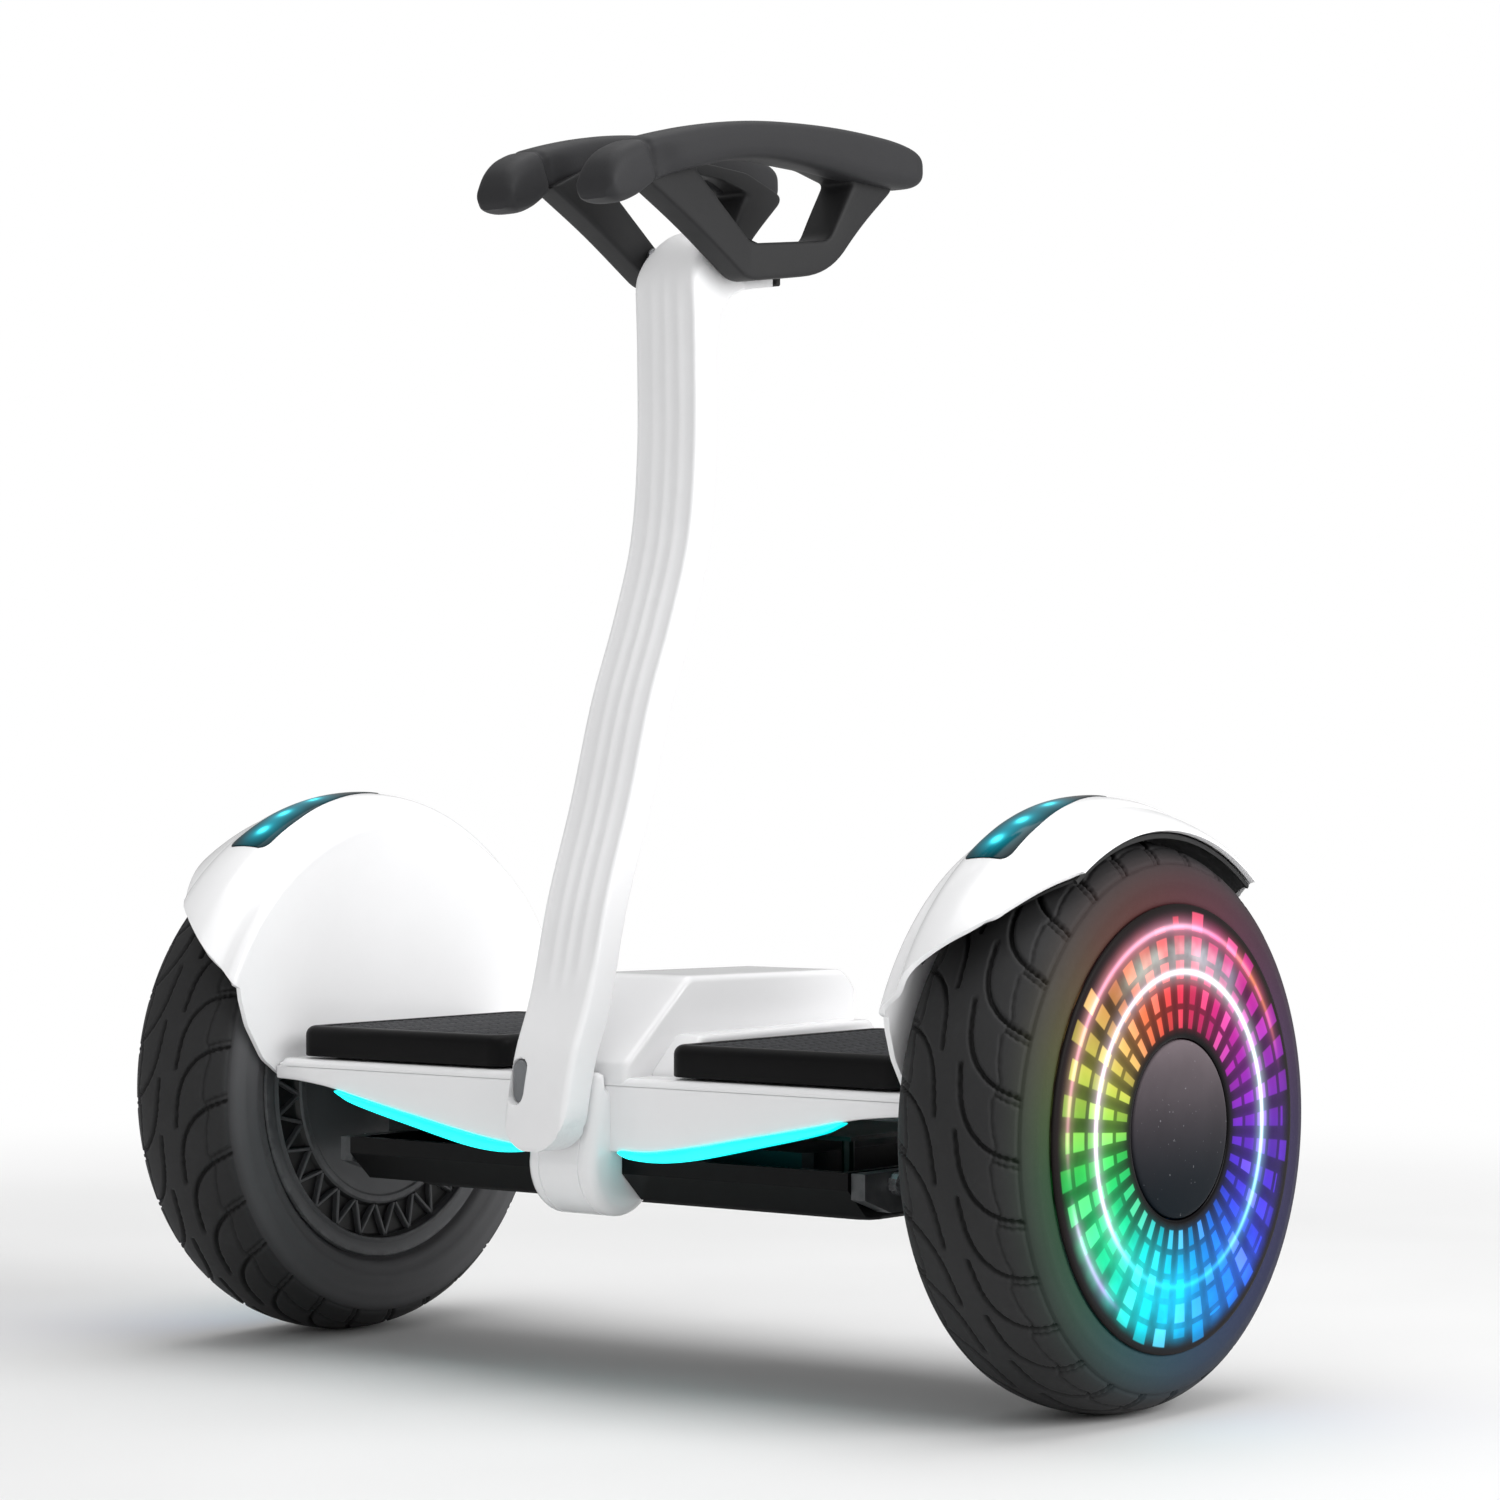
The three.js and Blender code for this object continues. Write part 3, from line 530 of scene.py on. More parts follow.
def disc_material(s):
    m, nt, b = base_material("light_disc_" + ("r" if s > 0 else "l"), spec=0.07)
    r, ang, x, y, z = wheel_polar(nt, s)
    v = coords(nt)
    hue = clock_ramp(nt, ang)
    # LED cells: 36 columns, five cells out
    colp = ang / 10.0 + 0.5
    ci = colp.floor()
    cf = (colp.fract() - 0.5).abs() * 10.0           # degrees from the column's middle
    rp = (r - 43.2) / 10.85
    ri = rp.floor()
    rf = (rp.fract() - 0.5).abs() * 10.85
    rnd = white(nt, join3(nt, ci + 3.0, ri + 11.0, 0.5))
    rnd2 = white(nt, join3(nt, ci + 7.0, 4.0, 1.5))
    half_w = (r - 44.0).step(0.0, 44.0) * 0.75 + 1.85
    cell = (1.0 - (cf - half_w).step(0.0, 0.55)) * (1.0 - (rf - 3.7).step(0.0, 0.8))
    reach = rnd2 * 11.0 + 86.5
    cell = cell * (r - 43.5).step(0.0, 1.0) * (1.0 - (r - reach).step(0.0, 0.8))
    level = rnd * 0.62 + 0.42
    soft = noise(nt, v, 26.0, 2.0, 0.5, seed=6.0)
    haze_n = noise(nt, scaled(nt, v, 1.0, 1.0, 1.0), 42.0, 3.0, 0.6, seed=8.0).step(0.3, 0.72)
    zone = (r - 44.0).step(0.0, 26.0) * (1.0 - (r - 88.0).step(0.0, 9.0))
    low = (1.0 - ((ang - 195.0).abs() - 48.0).step(0.0, 45.0)) * 1.0 + 0.42   # stronger towards the ground
    streak = 1.0 - (cf - 1.2).step(0.0, 3.6) * 0.35
    haze = zone * (haze_n * 0.55 + 0.45) * low * streak * 0.75
    inner_glow = (1.0 - (r - 62.0).step(0.0, 8.0)) * (r - 41.0).step(0.0, 8.0) * 0.22 * streak
    # the patch of teal light under the top of the bright ring
    top = 1.0 - ((((ang + 50.0) / 360.0).fract() * 360.0 - 50.0).abs() - 18.0).step(0.0, 28.0)
    patch = top * r.gauss(78.0, 5.5) * 1.5
    # rings of light
    ring_r = 69.3 + (ang * (math.pi / 180.0)).sin() * 0.9
    rr = r - ring_r
    core = (rr * rr * (-1 / 1.5)).exp()
    halo = (rr * rr * (-1 / 22.0)).exp()
    ring_col = ramp(nt, ang / 360.0, [(0, (0.9, 0.95, 1.0)), (0.10, (0.85, 1.0, 1.0)), (0.2, (0.75, 0.95, 1.0)), (0.33, (0.25, 0.72, 1.0)), (0.43, (0.03, 0.42, 1.0)),
                                      (0.52, (0.02, 0.75, 1.0)), (0.60, (0.12, 0.75, 0.95)), (0.66, (0.75, 0.62, 0.98)), (0.74, (0.92, 0.66, 1.0)), (0.84, (1.0, 0.72, 0.9)), (0.93, (0.9, 0.86, 1.0)), (1.0, (0.9, 0.95, 1.0))])
    strength_ring = ramp(nt, ang / 360.0, [(0, (0.9,) * 3), (0.1, (1.2,) * 3), (0.25, (1.3,) * 3), (0.38, (0.8,) * 3), (0.5, (0.35,) * 3), (0.58, (0.3,) * 3), (0.66, (0.9,) * 3), (0.8, (1.2,) * 3), (0.9, (0.9,) * 3), (1.0, (0.9,) * 3)])
    arc_col = ramp(nt, ang / 360.0, [(0, (1.0, 0.55, 0.75)), (0.06, (1.0, 0.3, 0.55)), (0.12, (1.0, 0.32, 0.12)), (0.17, (0.9, 0.25, 0.1)), (0.21, (0.2, 0.02, 0.25)), (0.58, (0.05, 0.02, 0.2)),
                                     (0.62, (0.55, 0.3, 0.9)), (0.68, (0.8, 0.55, 1.0)), (0.72, (0.25, 0.1, 0.3)), (0.75, (0.9, 0.35, 0.5)), (0.8, (1.0, 0.4, 0.55)), (0.9, (1.0, 0.4, 0.6)), (1.0, (1.0, 0.55, 0.75))])
    arc_s = ramp(nt, ang / 360.0, [(0, (1.0,) * 3), (0.1, (0.9,) * 3), (0.19, (0.35,) * 3), (0.22, (0.0,) * 3), (0.585, (0.0,) * 3), (0.62, (0.8,) * 3), (0.68, (0.7,) * 3), (0.71, (0.0,) * 3), (0.75, (0.5,) * 3), (0.85, (1.0,) * 3), (1.0, (1.0,) * 3)])
    ra = r - 89.3
    arc = (ra * ra * (-1 / 1.4)).exp() * 0.9 + (ra * ra * (-1 / 16.0)).exp() * 0.35
    sep = nt.nodes.new("ShaderNodeSeparateColor")
    link(nt, strength_ring, sep.inputs[0])
    ks = E(nt, sep.outputs[0])
    sep2 = nt.nodes.new("ShaderNodeSeparateColor")
    link(nt, arc_s, sep2.inputs[0])
    ka = E(nt, sep2.outputs[0])

    def weighted(color, w):
        n = nt.nodes.new("ShaderNodeVectorMath")
        n.operation = "SCALE"
        link(nt, color, n.inputs[0])
        link(nt, w, n.inputs["Scale"])
        return n.outputs[0]

    def plus(a, c):
        n = nt.nodes.new("ShaderNodeVectorMath")
        n.operation = "ADD"
        nt.links.new(a, n.inputs[0])
        nt.links.new(c, n.inputs[1])
        return n.outputs[0]

    pale = mix(nt, (level - 0.75).step(0.0, 0.4) * 0.12, hue, (1.0, 1.0, 0.9))
    inside = (1.0 - (r - 97.5).step(0.0, 1.5)) * (r - 40.0).step(0.0, 2.0)
    blur = (1.0 - ((ang - 200.0).abs() - 20.0).step(0.0, 30.0)) * r.gauss(76.0, 11.0) * 0.55
    tot = weighted(pale, cell * level * (1.05 - blur * 0.8))
    tot = plus(tot, weighted(hue, haze + inner_glow + blur * (haze_n * 0.5 + 0.5)))
    tot = plus(tot, weighted(mix(nt, 0.6, hue, (0.02, 0.75, 0.72)), patch * (haze_n * 0.7 + 0.3)))
    tot = plus(tot, weighted(ring_col, (core * 1.5 + halo * 0.30) * ks))
    tot = plus(tot, weighted(arc_col, arc * ka))
    tot = weighted(tot, inside)
    link(nt, tot, b.inputs["Emission Color"])
    b.inputs["Emission Strength"].default_value = 1.0
    dark = mix(nt, soft.step(0.3, 0.7), (0.0010, 0.0010, 0.0014), (0.0035, 0.0028, 0.0035))
    rimk = (r - 93.0).step(0.0, 4.0)
    dark = mix(nt, rimk * 0.6, dark, tuple(np.array(lin(30, 25, 24))))
    link(nt, dark, b.inputs["Base Color"])
    dust = noise(nt, v, 700.0, 2.0, 0.6, seed=11.0).step(0.68, 0.76)
    link(nt, (soft * 0.12 + 0.14 + dust * 0.3 + rimk * 0.25).clamp(), b.inputs["Roughness"])
    bump(nt, b, noise(nt, v, 500.0, 2.0, 0.5, seed=12.0), 0.06, 0.0001)
    return m


def cap_material():
    m, nt, b = base_material("hub_cap_dark", spec=0.06)
    v = coords(nt)
    x, y, z = split(nt, v)
    cloud = noise(nt, v, 22.0, 4.0, 0.6)
    # painted light and shade: the cap is painted dark at the bottom and pale at the top, where the gloss catches the
    # light
    painted_light_grad = (z - 0.089) / 0.078
    col = mix(nt, painted_light_grad.clamp().pow(2.3), lin(2, 14, 22), lin(112, 101, 106))
    col = mix(nt, cloud.step(0.35, 0.7) * 0.2, col, lin(30, 28, 30))
    dust = noise(nt, v, 620.0, 1.0, 0.5, seed=2.5).step(0.72, 0.77)
    col = mix(nt, dust * 0.5, col, lin(150, 150, 155))
    link(nt, col, b.inputs["Base Color"])
    link(nt, (cloud * 0.14 + 0.36 + dust * 0.3).clamp(), b.inputs["Roughness"])
    bump(nt, b, noise(nt, v, 900.0, 2.0, 0.6, seed=1.5), 0.12, 0.00015)
    return m


def lamp_material(s):
    """Smoked lens over three LEDs."""
    m, nt, b = base_material("lamp_lens_" + ("r" if s > 0 else "l"), spec=0.1)
    r, ang, x, y, z = wheel_polar(nt, s)
    v = coords(nt)
    front = ((ang / 360.0 + (0.5 if s > 0 else 0.5)).fract() - 0.5) * (360.0 * s)   # degrees from the top, negative to the front
    a = x * (1000.0 * s) - T
    glow = const(nt, 0.0)
    hot = const(nt, 0.0)
    for th0, a0, k in ((-29.2, -10.8, 1.0), (-21.8, -9.0, 0.95), (-13.0, -9.0, 0.8)):
        du = (front - th0) * (146.0 * math.pi / 180.0)
        dv = a - a0
        d2 = du * du * 0.45 + dv * dv
        glow = glow + (d2 * (-1 / 52.0)).exp() * k
        hot = hot + (d2 * (-1 / 6.5)).exp() * k
    cloud = noise(nt, v, 60.0, 3.0, 0.6)
    tot = mix(nt, hot.clamp(), lin(0, 132, 150), lin(70, 236, 250))
    n = nt.nodes.new("ShaderNodeVectorMath")
    n.operation = "SCALE"
    link(nt, tot, n.inputs[0])
    link(nt, glow * 1.3 + hot * 1.3 + cloud * 0.03, n.inputs["Scale"])
    link(nt, n.outputs[0], b.inputs["Emission Color"])
    b.inputs["Emission Strength"].default_value = 1.0
    col = mix(nt, cloud.step(0.3, 0.7), (0.001, 0.003, 0.004), (0.004, 0.009, 0.011))
    link(nt, col, b.inputs["Base Color"])
    link(nt, (cloud * 0.08 + 0.06).clamp(), b.inputs["Roughness"])
    bump(nt, b, noise(nt, v, 420.0, 2.0, 0.5, seed=3.3), 0.05, 0.0001)
    return m


def strip_material():
    m, nt, b = base_material("led_strip_cyan", coat=0.4, coat_rough=0.2)
    v = coords(nt)
    x, y, z = split(nt, v)
    beads = ((x * (math.pi / 0.0065)).sin() * 0.5 + 0.5) * 0.06
    cloud = noise(nt, v, 40.0, 2.0, 0.5)
    col = mix(nt, cloud.step(0.3, 0.7), lin(0, 238, 240), lin(10, 255, 252))
    link(nt, col, b.inputs["Base Color"])
    n = nt.nodes.new("ShaderNodeVectorMath")
    n.operation = "SCALE"
    link(nt, col, n.inputs[0])
    link(nt, beads + 0.98, n.inputs["Scale"])
    link(nt, n.outputs[0], b.inputs["Emission Color"])
    b.inputs["Emission Strength"].default_value = 1.15
    link(nt, (cloud * 0.1 + 0.3).clamp(), b.inputs["Roughness"])
    bump(nt, b, noise(nt, v, 700.0, 2.0, 0.5), 0.08, 0.0001)
    return m


def pad_material():
    m, nt, b = base_material("pad_rubber", spec=0.12)
    v = coords(nt)
    x, y, z = split(nt, v)
    cloud = noise(nt, v, 30.0, 4.0, 0.6)
    fine = noise(nt, v, 700.0, 3.0, 0.65, seed=2.2)
    c = np.array(lin(6, 6, 7))
    col = mix(nt, cloud.step(0.3, 0.7), tuple(c * 0.8), tuple(c * 1.2))
    attr = nt.nodes.new("ShaderNodeAttribute")
    attr.attribute_name = "tread"
    grip = E(nt, attr.outputs["Fac"])
    col = mix(nt, grip * (0.35 + fine * 0.3), col, lin(92, 93, 96))
    link(nt, col, b.inputs["Base Color"])
    link(nt, (cloud * 0.12 + 0.40 + grip * 0.22).clamp(), b.inputs["Roughness"])
    bump(nt, b, fine, 0.25, 0.0002)
    return m


WHITE = finish_mat("white_gloss", lin(244, 244, 245), 0.24, var=0.012, rough_var=0.05, grain=260.0, grain_h=0.05, grain_d=0.00025, coat=0.3, coat_rough=0.1, wear=0.12, wear_color=lin(222, 222, 224))
WHITE_SATIN = finish_mat("white_satin", lin(241, 241, 242), 0.42, var=0.022, rough_var=0.08, grain=1300.0, grain_h=0.16, grain_d=0.00012, wear=0.2, wear_color=lin(205, 205, 208), coat=0.12, coat_rough=0.3)
BLACK = finish_mat("black_satin", lin(3, 3, 4), 0.3, var=0.08, rough_var=0.04, grain=1000.0, grain_h=0.12, wear=0.1, wear_color=lin(24, 24, 25), spec=0.13)
BLACK_MATTE = finish_mat("black_matte", lin(13, 13, 14), 0.62, var=0.18, rough_var=0.08, grain=800.0, grain_h=0.4, grain_d=0.0003, speck=0.5)
CLAMP = finish_mat("clamp_alloy", lin(58, 60, 62), 0.45, var=0.1, rough_var=0.08, grain=600.0, grain_h=0.25, grain_d=0.0002, metallic=0.1, wear=0.12, wear_color=lin(120, 120, 121))
HUB = finish_mat("hub_dark", lin(82, 83, 85), 0.46, var=0.1, rough_var=0.08, grain=900.0, grain_h=0.2, metallic=0.25, wear=0.4, wear_color=lin(125, 126, 128))
HUB_DEEP = finish_mat("hub_recess", lin(9, 9, 10), 0.5, var=0.15, rough_var=0.08, grain=900.0, grain_h=0.2)
GRIP = finish_mat("grip_soft", lin(40, 40, 42), 0.6, var=0.07, rough_var=0.07, grain=1600.0, grain_h=0.3, grain_d=0.0002, speck=0.4, spec=0.3)
FRAME = finish_mat("handle_frame_black", lin(37, 37, 38), 0.55, var=0.08, rough_var=0.07, grain=1500.0, grain_h=0.25, grain_d=0.0002, speck=0.3, spec=0.25)
STEEL = finish_mat("zinc_steel", lin(200, 201, 204), 0.27, var=0.08, rough_var=0.1, grain=1400.0, grain_h=0.15, metallic=0.95, wear=0.3, wear_color=lin(235, 235, 236))
BUTTON = finish_mat("button_grey", lin(122, 124, 127), 0.42, var=0.08, rough_var=0.08, grain=900.0, grain_h=0.2, metallic=0.2)
MAGNET = finish_mat("magnet_nickel", lin(150, 151, 153), 0.35, var=0.1, grain=900.0, metallic=0.9)
COPPER = finish_mat("winding_copper", lin(178, 96, 52), 0.4, var=0.2, grain=400.0, grain_h=0.5, metallic=0.7)
BATTERY = finish_mat("battery_wrap", lin(15, 17, 21), 0.36, var=0.08, grain=300.0, grain_h=0.3, grain_d=0.0005)
BOARD = finish_mat("circuit_board", lin(9, 26, 18), 0.4, var=0.25, grain=500.0, grain_h=0.4, grain_d=0.0004, speck=0.6)
STRIP = strip_material()
PAD = pad_material()
CAP = cap_material()


# ------------------------------------------------------------------ tyres
TYRE = [[82, 26.6], [90, 27.2], [93.5, 32], [104, 34.5], [116, 32], [124.5, 21], [128, 0]]
full = np.array([[r, -a] for r, a in TYRE] + [[r, a] for r, a in TYRE[:-1]][::-1], float)
curve = hermite(full, 60)
arc_len = np.r_[0, np.cumsum(np.linalg.norm(np.diff(curve, axis=0), axis=1))]
mid = int(np.argmax(curve[:, 0]))
V_AT = arc_len - arc_len[mid]
V_END = float(V_AT[-1])
PITCHES, PER = 28, 26
PITCH = 2 * math.pi * R / PITCHES


def seg_depth(u, v, line, depth):
    """Groove depth left by one polyline of (u, v, half width)."""
    best = np.zeros_like(u)
    for (u0, v0, w0), (u1, v1, w1) in zip(line[:-1], line[1:]):
        du, dv = u1 - u0, v1 - v0
        l2 = du * du + dv * dv
        t = np.clip(((u - u0) * du + (v - v0) * dv) / l2, 0, 1)
        d = np.hypot(u - u0 - t * du, v - v0 - t * dv)
        w = w0 + (w1 - w0) * t
        best = np.maximum(best, depth * (1 - smooth01(d / w, 0.55, 1.25)))
    return best


def curve_line(points, per=6):
    return [tuple(p) for p in hermite(points, per)]


COMMA = curve_line([(0, 5.5, 1.15), (7.5, 6.4, 1.2), (16.5, 7.9, 1.15), (25.6, 11.4, 1.05), (33.4, 17.6, 0.95), (38.0, 24.6, 0.9), (41.2, 33.6, 0.85)])
CROSS = curve_line([(40.6, 22.8, 0.8), (43.0, 28.0, 0.8), (44.6, 33.8, 0.8)], 3)
LADDER = curve_line([(-14.36, 21.6, 0.62), (-7, 22.2, 0.62), (0, 23.0, 0.62), (7, 24.4, 0.62), (14.36, 21.6, 0.62)], 3)


def tread(u, v):
    """Depth in mm at circumferential u and signed arc distance v from the crown, outer half positive."""
    d = np.zeros_like(u)
    for shift in (-2, -1, 0, 1, 2):
        for sgn, phase in ((1, 22.8), (-1, 16.0)):
            uu = sgn * (u - phase) + shift * PITCH
            vv = sgn * v
            d = np.maximum(d, seg_depth(uu, vv, COMMA, 2.6))
            d = np.maximum(d, seg_depth(uu, vv, CROSS, 1.3))
            d = np.maximum(d, seg_depth(uu, vv, LADDER, 0.9))
    for e in (-33.9, 33.9):
        d = np.maximum(d, 0.8 * (1 - smooth01(np.abs(v - e) / 0.9, 0.3, 1.2)))
    return d


def tyre(s, side):
    v = np.r_[np.linspace(-V_END, -36.5, 22)[:-1], np.linspace(-36.5, 36.5, 93), np.linspace(36.5, V_END, 22)[1:]]
    # the profile is sampled more closely across the tread than on the sidewalls
    pr, pa = np.interp(v, V_AT, curve[:, 0]), np.interp(v, V_AT, curve[:, 1])
    t = np.gradient(np.stack([pr, pa], 1), axis=0)
    t /= np.linalg.norm(t, axis=1, keepdims=True)
    nr, na = t[:, 1], -t[:, 0]
    flip = np.sign(nr[len(v) // 2])
    nr, na = nr * flip, na * flip
    n_th = PITCHES * PER
    # one pitch is worked out and repeated
    uu = (np.arange(PER) / PER) * PITCH
    U, VV = np.meshgrid(uu, v, indexing="ij")
    D1 = tread(U, VV)
    ridge = (0.9 * np.exp(-((np.abs(v) - 51.5) / 1.5) ** 2) + 0.45 * np.exp(-((np.abs(v) - 43.5) / 0.8) ** 2)
             + 0.5 * np.exp(-((np.abs(v) - 60.5) / 1.0) ** 2) - 0.5 * np.exp(-((np.abs(v) - 56.0) / 1.2) ** 2))
    D = np.tile(D1, (PITCHES, 1))
    u = (np.arange(n_th) / PER) * PITCH
    th = -u / R
    rr = pr[None, :] + nr[None, :] * (ridge[None, :] - D)
    aa = pa[None, :] + na[None, :] * (ridge[None, :] - D)
    aa = np.clip(aa, -35.2, 35.2)
    inner = np.array([[83, 19.0], [105, 27.5], [121.0, 10], [121.0, -10], [105, -27.5], [83, -19.0]])
    rr = np.hstack([rr, np.tile(inner[:, 0], (n_th, 1))])
    aa = np.hstack([aa, np.tile(inner[:, 1], (n_th, 1))])
    depth = np.hstack([D, np.zeros((n_th, len(inner)))])
    X = s * (T + aa)
    Y = rr * np.sin(th)[:, None]
    Z = R + rr * np.cos(th)[:, None]
    verts = np.stack([X, Y, Z], -1).reshape(-1, 3)
    m = rr.shape[1]
    faces = grid_faces(n_th, m, wrap_rows=True, wrap_cols=True)
    ob = mk("tyre_tread_" + side, verts, faces, tyre_material(s), "wheel_" + side, ["tyre_" + side], sharp=180, fix=False)
    bm = bmesh.new()
    bm.from_mesh(ob.data)
    bmesh.ops.recalc_face_normals(bm, faces=bm.faces)
    bm.to_mesh(ob.data)
    bm.free()
    at = ob.data.attributes.new("groove", "FLOAT", "POINT")
    at.data.foreach_set("value", (depth / 2.6).reshape(-1).astype(np.float32))
    return ob


# ------------------------------------------------------------------ wheel hubs
def hub(s, side):
    body = "wheel_" + side
    rim = [[0.01, 27], [80, 27], [83.2, 27.3], [84.2, 29.2], [85.0, 30], [88.6, 30], [89.4, 29.4], [89.5, 27.5], [81.2, 26.6], [81.2, -26.6], [89.5, -27.5],
           [89.6, -29.2], [88.8, -30.2], [86.8, -30.6], [84.4, -30.2], [82.6, -29.6], [80.6, -30.4], [80.0, -30.0], [79.9, -24], [77, -24], [77, 22.5], [21, 22.5], [21, 13.5], [15.4, 13.5], [15.4, 21.6], [0.01, 21.6]]
    lathe("hub_rim_fine_" + side, rim, s, HUB, body, ["hub_rim_" + side], closed=False)
    plate = [[17.9, -28], [18.4, -28.4], [26, -28.4], [27, -28.0], [52, -28.0], [53, -27.6], [58, -27.6], [59, -28.2], [61.6, -28.2], [62.8, -27.4], [64.2, -25.4],
             [66, -24.6], [78.2, -24.6], [79.2, -25.4], [79.6, -29.2], [79.3, -24.2], [76.5, -24.2], [76.5, -22.6], [22, -22.6], [22, -17.5], [17.9, -17.5]]
    cover = lathe("hub_cover_fine_" + side, plate, s, HUB, body, ["hub_cover_" + side])
    cover.data.materials.append(HUB_DEEP)
    for p in cover.data.polygons:
        c = p.center
        r = math.hypot(c.y, c.z - R * MM) / MM
        a = abs(c.x) / MM - T
        if 63.4 < r < 79.0 and a < -23.0:
            p.material_index = 1
    # zigzag ribs in the channel round the motor cover
    verts, faces = [], []
    count = 27
    for k in range(count):
        for j, (r0, t0, r1, t1) in enumerate(((63.8, k + 0.06, 78.9, k + 0.5), (78.9, k + 0.5, 63.8, k + 0.94))):
            p0 = np.array([r0 * math.sin(2 * math.pi * t0 / count), r0 * math.cos(2 * math.pi * t0 / count)])
            p1 = np.array([r1 * math.sin(2 * math.pi * t1 / count), r1 * math.cos(2 * math.pi * t1 / count)])
            d = (p1 - p0) / np.linalg.norm(p1 - p0)
            nrm = np.array([-d[1], d[0]])
            b = len(verts)
            for p in (p0 - d * 0.5, p1 + d * 0.5):
                for off, a in ((-0.85, -24.0), (-0.85, -27.4), (-0.45, -27.9), (0.45, -27.9), (0.85, -27.4), (0.85, -24.0)):
                    q = p + nrm * off
                    verts.append((s * (T + a), q[0], R + q[1]))
            faces += [(b + i, b + (i + 1) % 6, b + 6 + (i + 1) % 6, b + 6 + i) for i in range(6)]
            faces += [tuple(b + i for i in range(6)), tuple(b + 11 - i for i in range(6))]
    if s < 0:
        faces = [f[::-1] for f in faces]
    mk("hub_ribs_" + side, verts, faces, HUB, body, (), sharp=25, fix=False)
    # the light disc and the hub cap
    disc = hermite([[88.6, 31.0], [94.6, 34.3], [98.4, 34.9], [99.2, 35.4], [98.9, 36.2], [97.6, 36.75], [93.0, 37.1], [80, 37.75], [60, 38.1], [42.5, 38.25], [40.2, 37.9], [40.0, 36.8]], 5)
    prof = np.array([[40.0, 31.2]])
    lathe("light_disc_fine_" + side, np.vstack([prof, disc]), s, disc_material(s), body, ["light_disc_" + side], n=256, sharp=40)
    capp = hermite([[39.4, 36.4], [39.3, 37.6], [38.6, 38.4], [36.4, 38.75], [28, 39.15], [14, 39.5], [4, 39.6], [0.02, 39.6]], 5)
    lathe("hub_cap_fine_" + side, np.vstack([[[0.02, 31]], [[39.4, 31]], capp]), s, CAP, body, ["hub_cap_" + side], n=128, closed=False, sharp=40)


# ------------------------------------------------------------------ fenders
CROWN_VIS = hermite([[-39.3, 127.5], [-39.25, 130.6], [-38.5, 132.6], [-36.4, 134.3], [-33.2, 135.2], [-30.4, 136.2], [-27.6, 138.8], [-24.4, 142.5], [-20.6, 144.9], [-16, 146.0], [-8, 146.5], [1, 145.6], [6.5, 143.9], [9.5, 142.0], [12.5, 141.2], [21, 138.4], [28.6, 134.6], [30.6, 132.8], [31, 131.5]], 5)
LOWER_EDGE = np.array([[-115.4, 174.0], [-111.2, 161.5], [-100, 144.5], [-86, 135.0], [86, 135.0], [100, 144.5], [111.2, 161.5], [115.4, 174.0]])
CR_SRC = np.array([[-39.5, 131], [-38.6, 136], [-34, 139], [-27, 139.6], [-23.5, 143.4], [-16, 146], [-8, 146.6], [2, 145.5], [11, 142.2], [21, 138.2], [29, 134.2], [31, 131.5]], float)


def crown_r(a):
    i = np.argsort(CROWN_VIS[:, 0])
    return float(np.interp(a, CROWN_VIS[i, 0], CROWN_VIS[i, 1]))


def sweep_half(a):
    return 41.5 + (31 - a) / 70.5 * 24.5


def rear_short(a):
    return 6.0 * max(0.0, (a + 39.5) / 70.5)


def front_short(a):
    """The front corner of the outer edge is rounded off."""
    return 11.5 * max(0.0, (a - 2.0) / 29.0) ** 1.6


def fender(s, side):
    cols = 121
    tau = np.linspace(0, 1, cols)
    edge = resample(rounded(LOWER_EDGE, 14, 6, closed=False), 400)
    d = np.r_[0, np.cumsum(np.linalg.norm(np.diff(edge, axis=0), axis=1))]
    # the lower edge is walked so that the flat run under the wall takes the middle of the span
    low = np.stack([np.interp(tau * d[-1], d, edge[:, k]) for k in (0, 1)], 1)
    rows = []
    a0, r0 = CROWN_VIS[0]
    th = np.radians(-sweep_half(a0) + (2 * sweep_half(a0) - rear_short(a0)) * tau)
    top = np.stack([r0 * np.sin(th), R + r0 * np.cos(th)], 1)
    for k in np.linspace(0, 1, 12)[:-1]:
        q = low * (1 - k) + top * k
        rows.append(np.column_stack([np.full(cols, s * (T + a0)), q]))
    for a, r in CROWN_VIS:
        lead = front_short(a)
        th = np.radians(-sweep_half(a) + lead + (2 * sweep_half(a) - rear_short(a) - lead) * tau)
        rows.append(np.column_stack([np.full(cols, s * (T + a)), r * np.sin(th), R + r * np.cos(th)]))
    v = np.array(rows)
    f = grid_faces(len(rows), cols)
    ob = mk("fender_shell_" + side, v, f, WHITE, None, (), sharp=50)
    # thickness is laid on the inside
    bm = bmesh.new()
    bm.from_mesh(ob.data)
    bmesh.ops.recalc_face_normals(bm, faces=bm.faces)
    up = sum((f.normal.z * f.calc_area() for f in bm.faces if f.calc_center_median().z > 0.24), 0.0)
    if up < 0:
        bmesh.ops.reverse_faces(bm, faces=bm.faces)
    bm.to_mesh(ob.data)
    bm.free()
    m = ob.modifiers.new("wall", "SOLIDIFY")
    m.thickness = 2.7 * MM
    m.offset = -1.0
    m.use_rim = True
    bpy.context.view_layer.update()
    apply_modifiers(ob)
    m = ob.modifiers.new("edge", "BEVEL")
    m.width = 0.7 * MM
    m.segments = 3
    m.limit_method = "ANGLE"
    m.angle_limit = rad(60)
    bpy.context.view_layer.update()
    apply_modifiers(ob)
    shade(ob, 40)
    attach(ob, "base")
    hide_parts("fender_" + side)


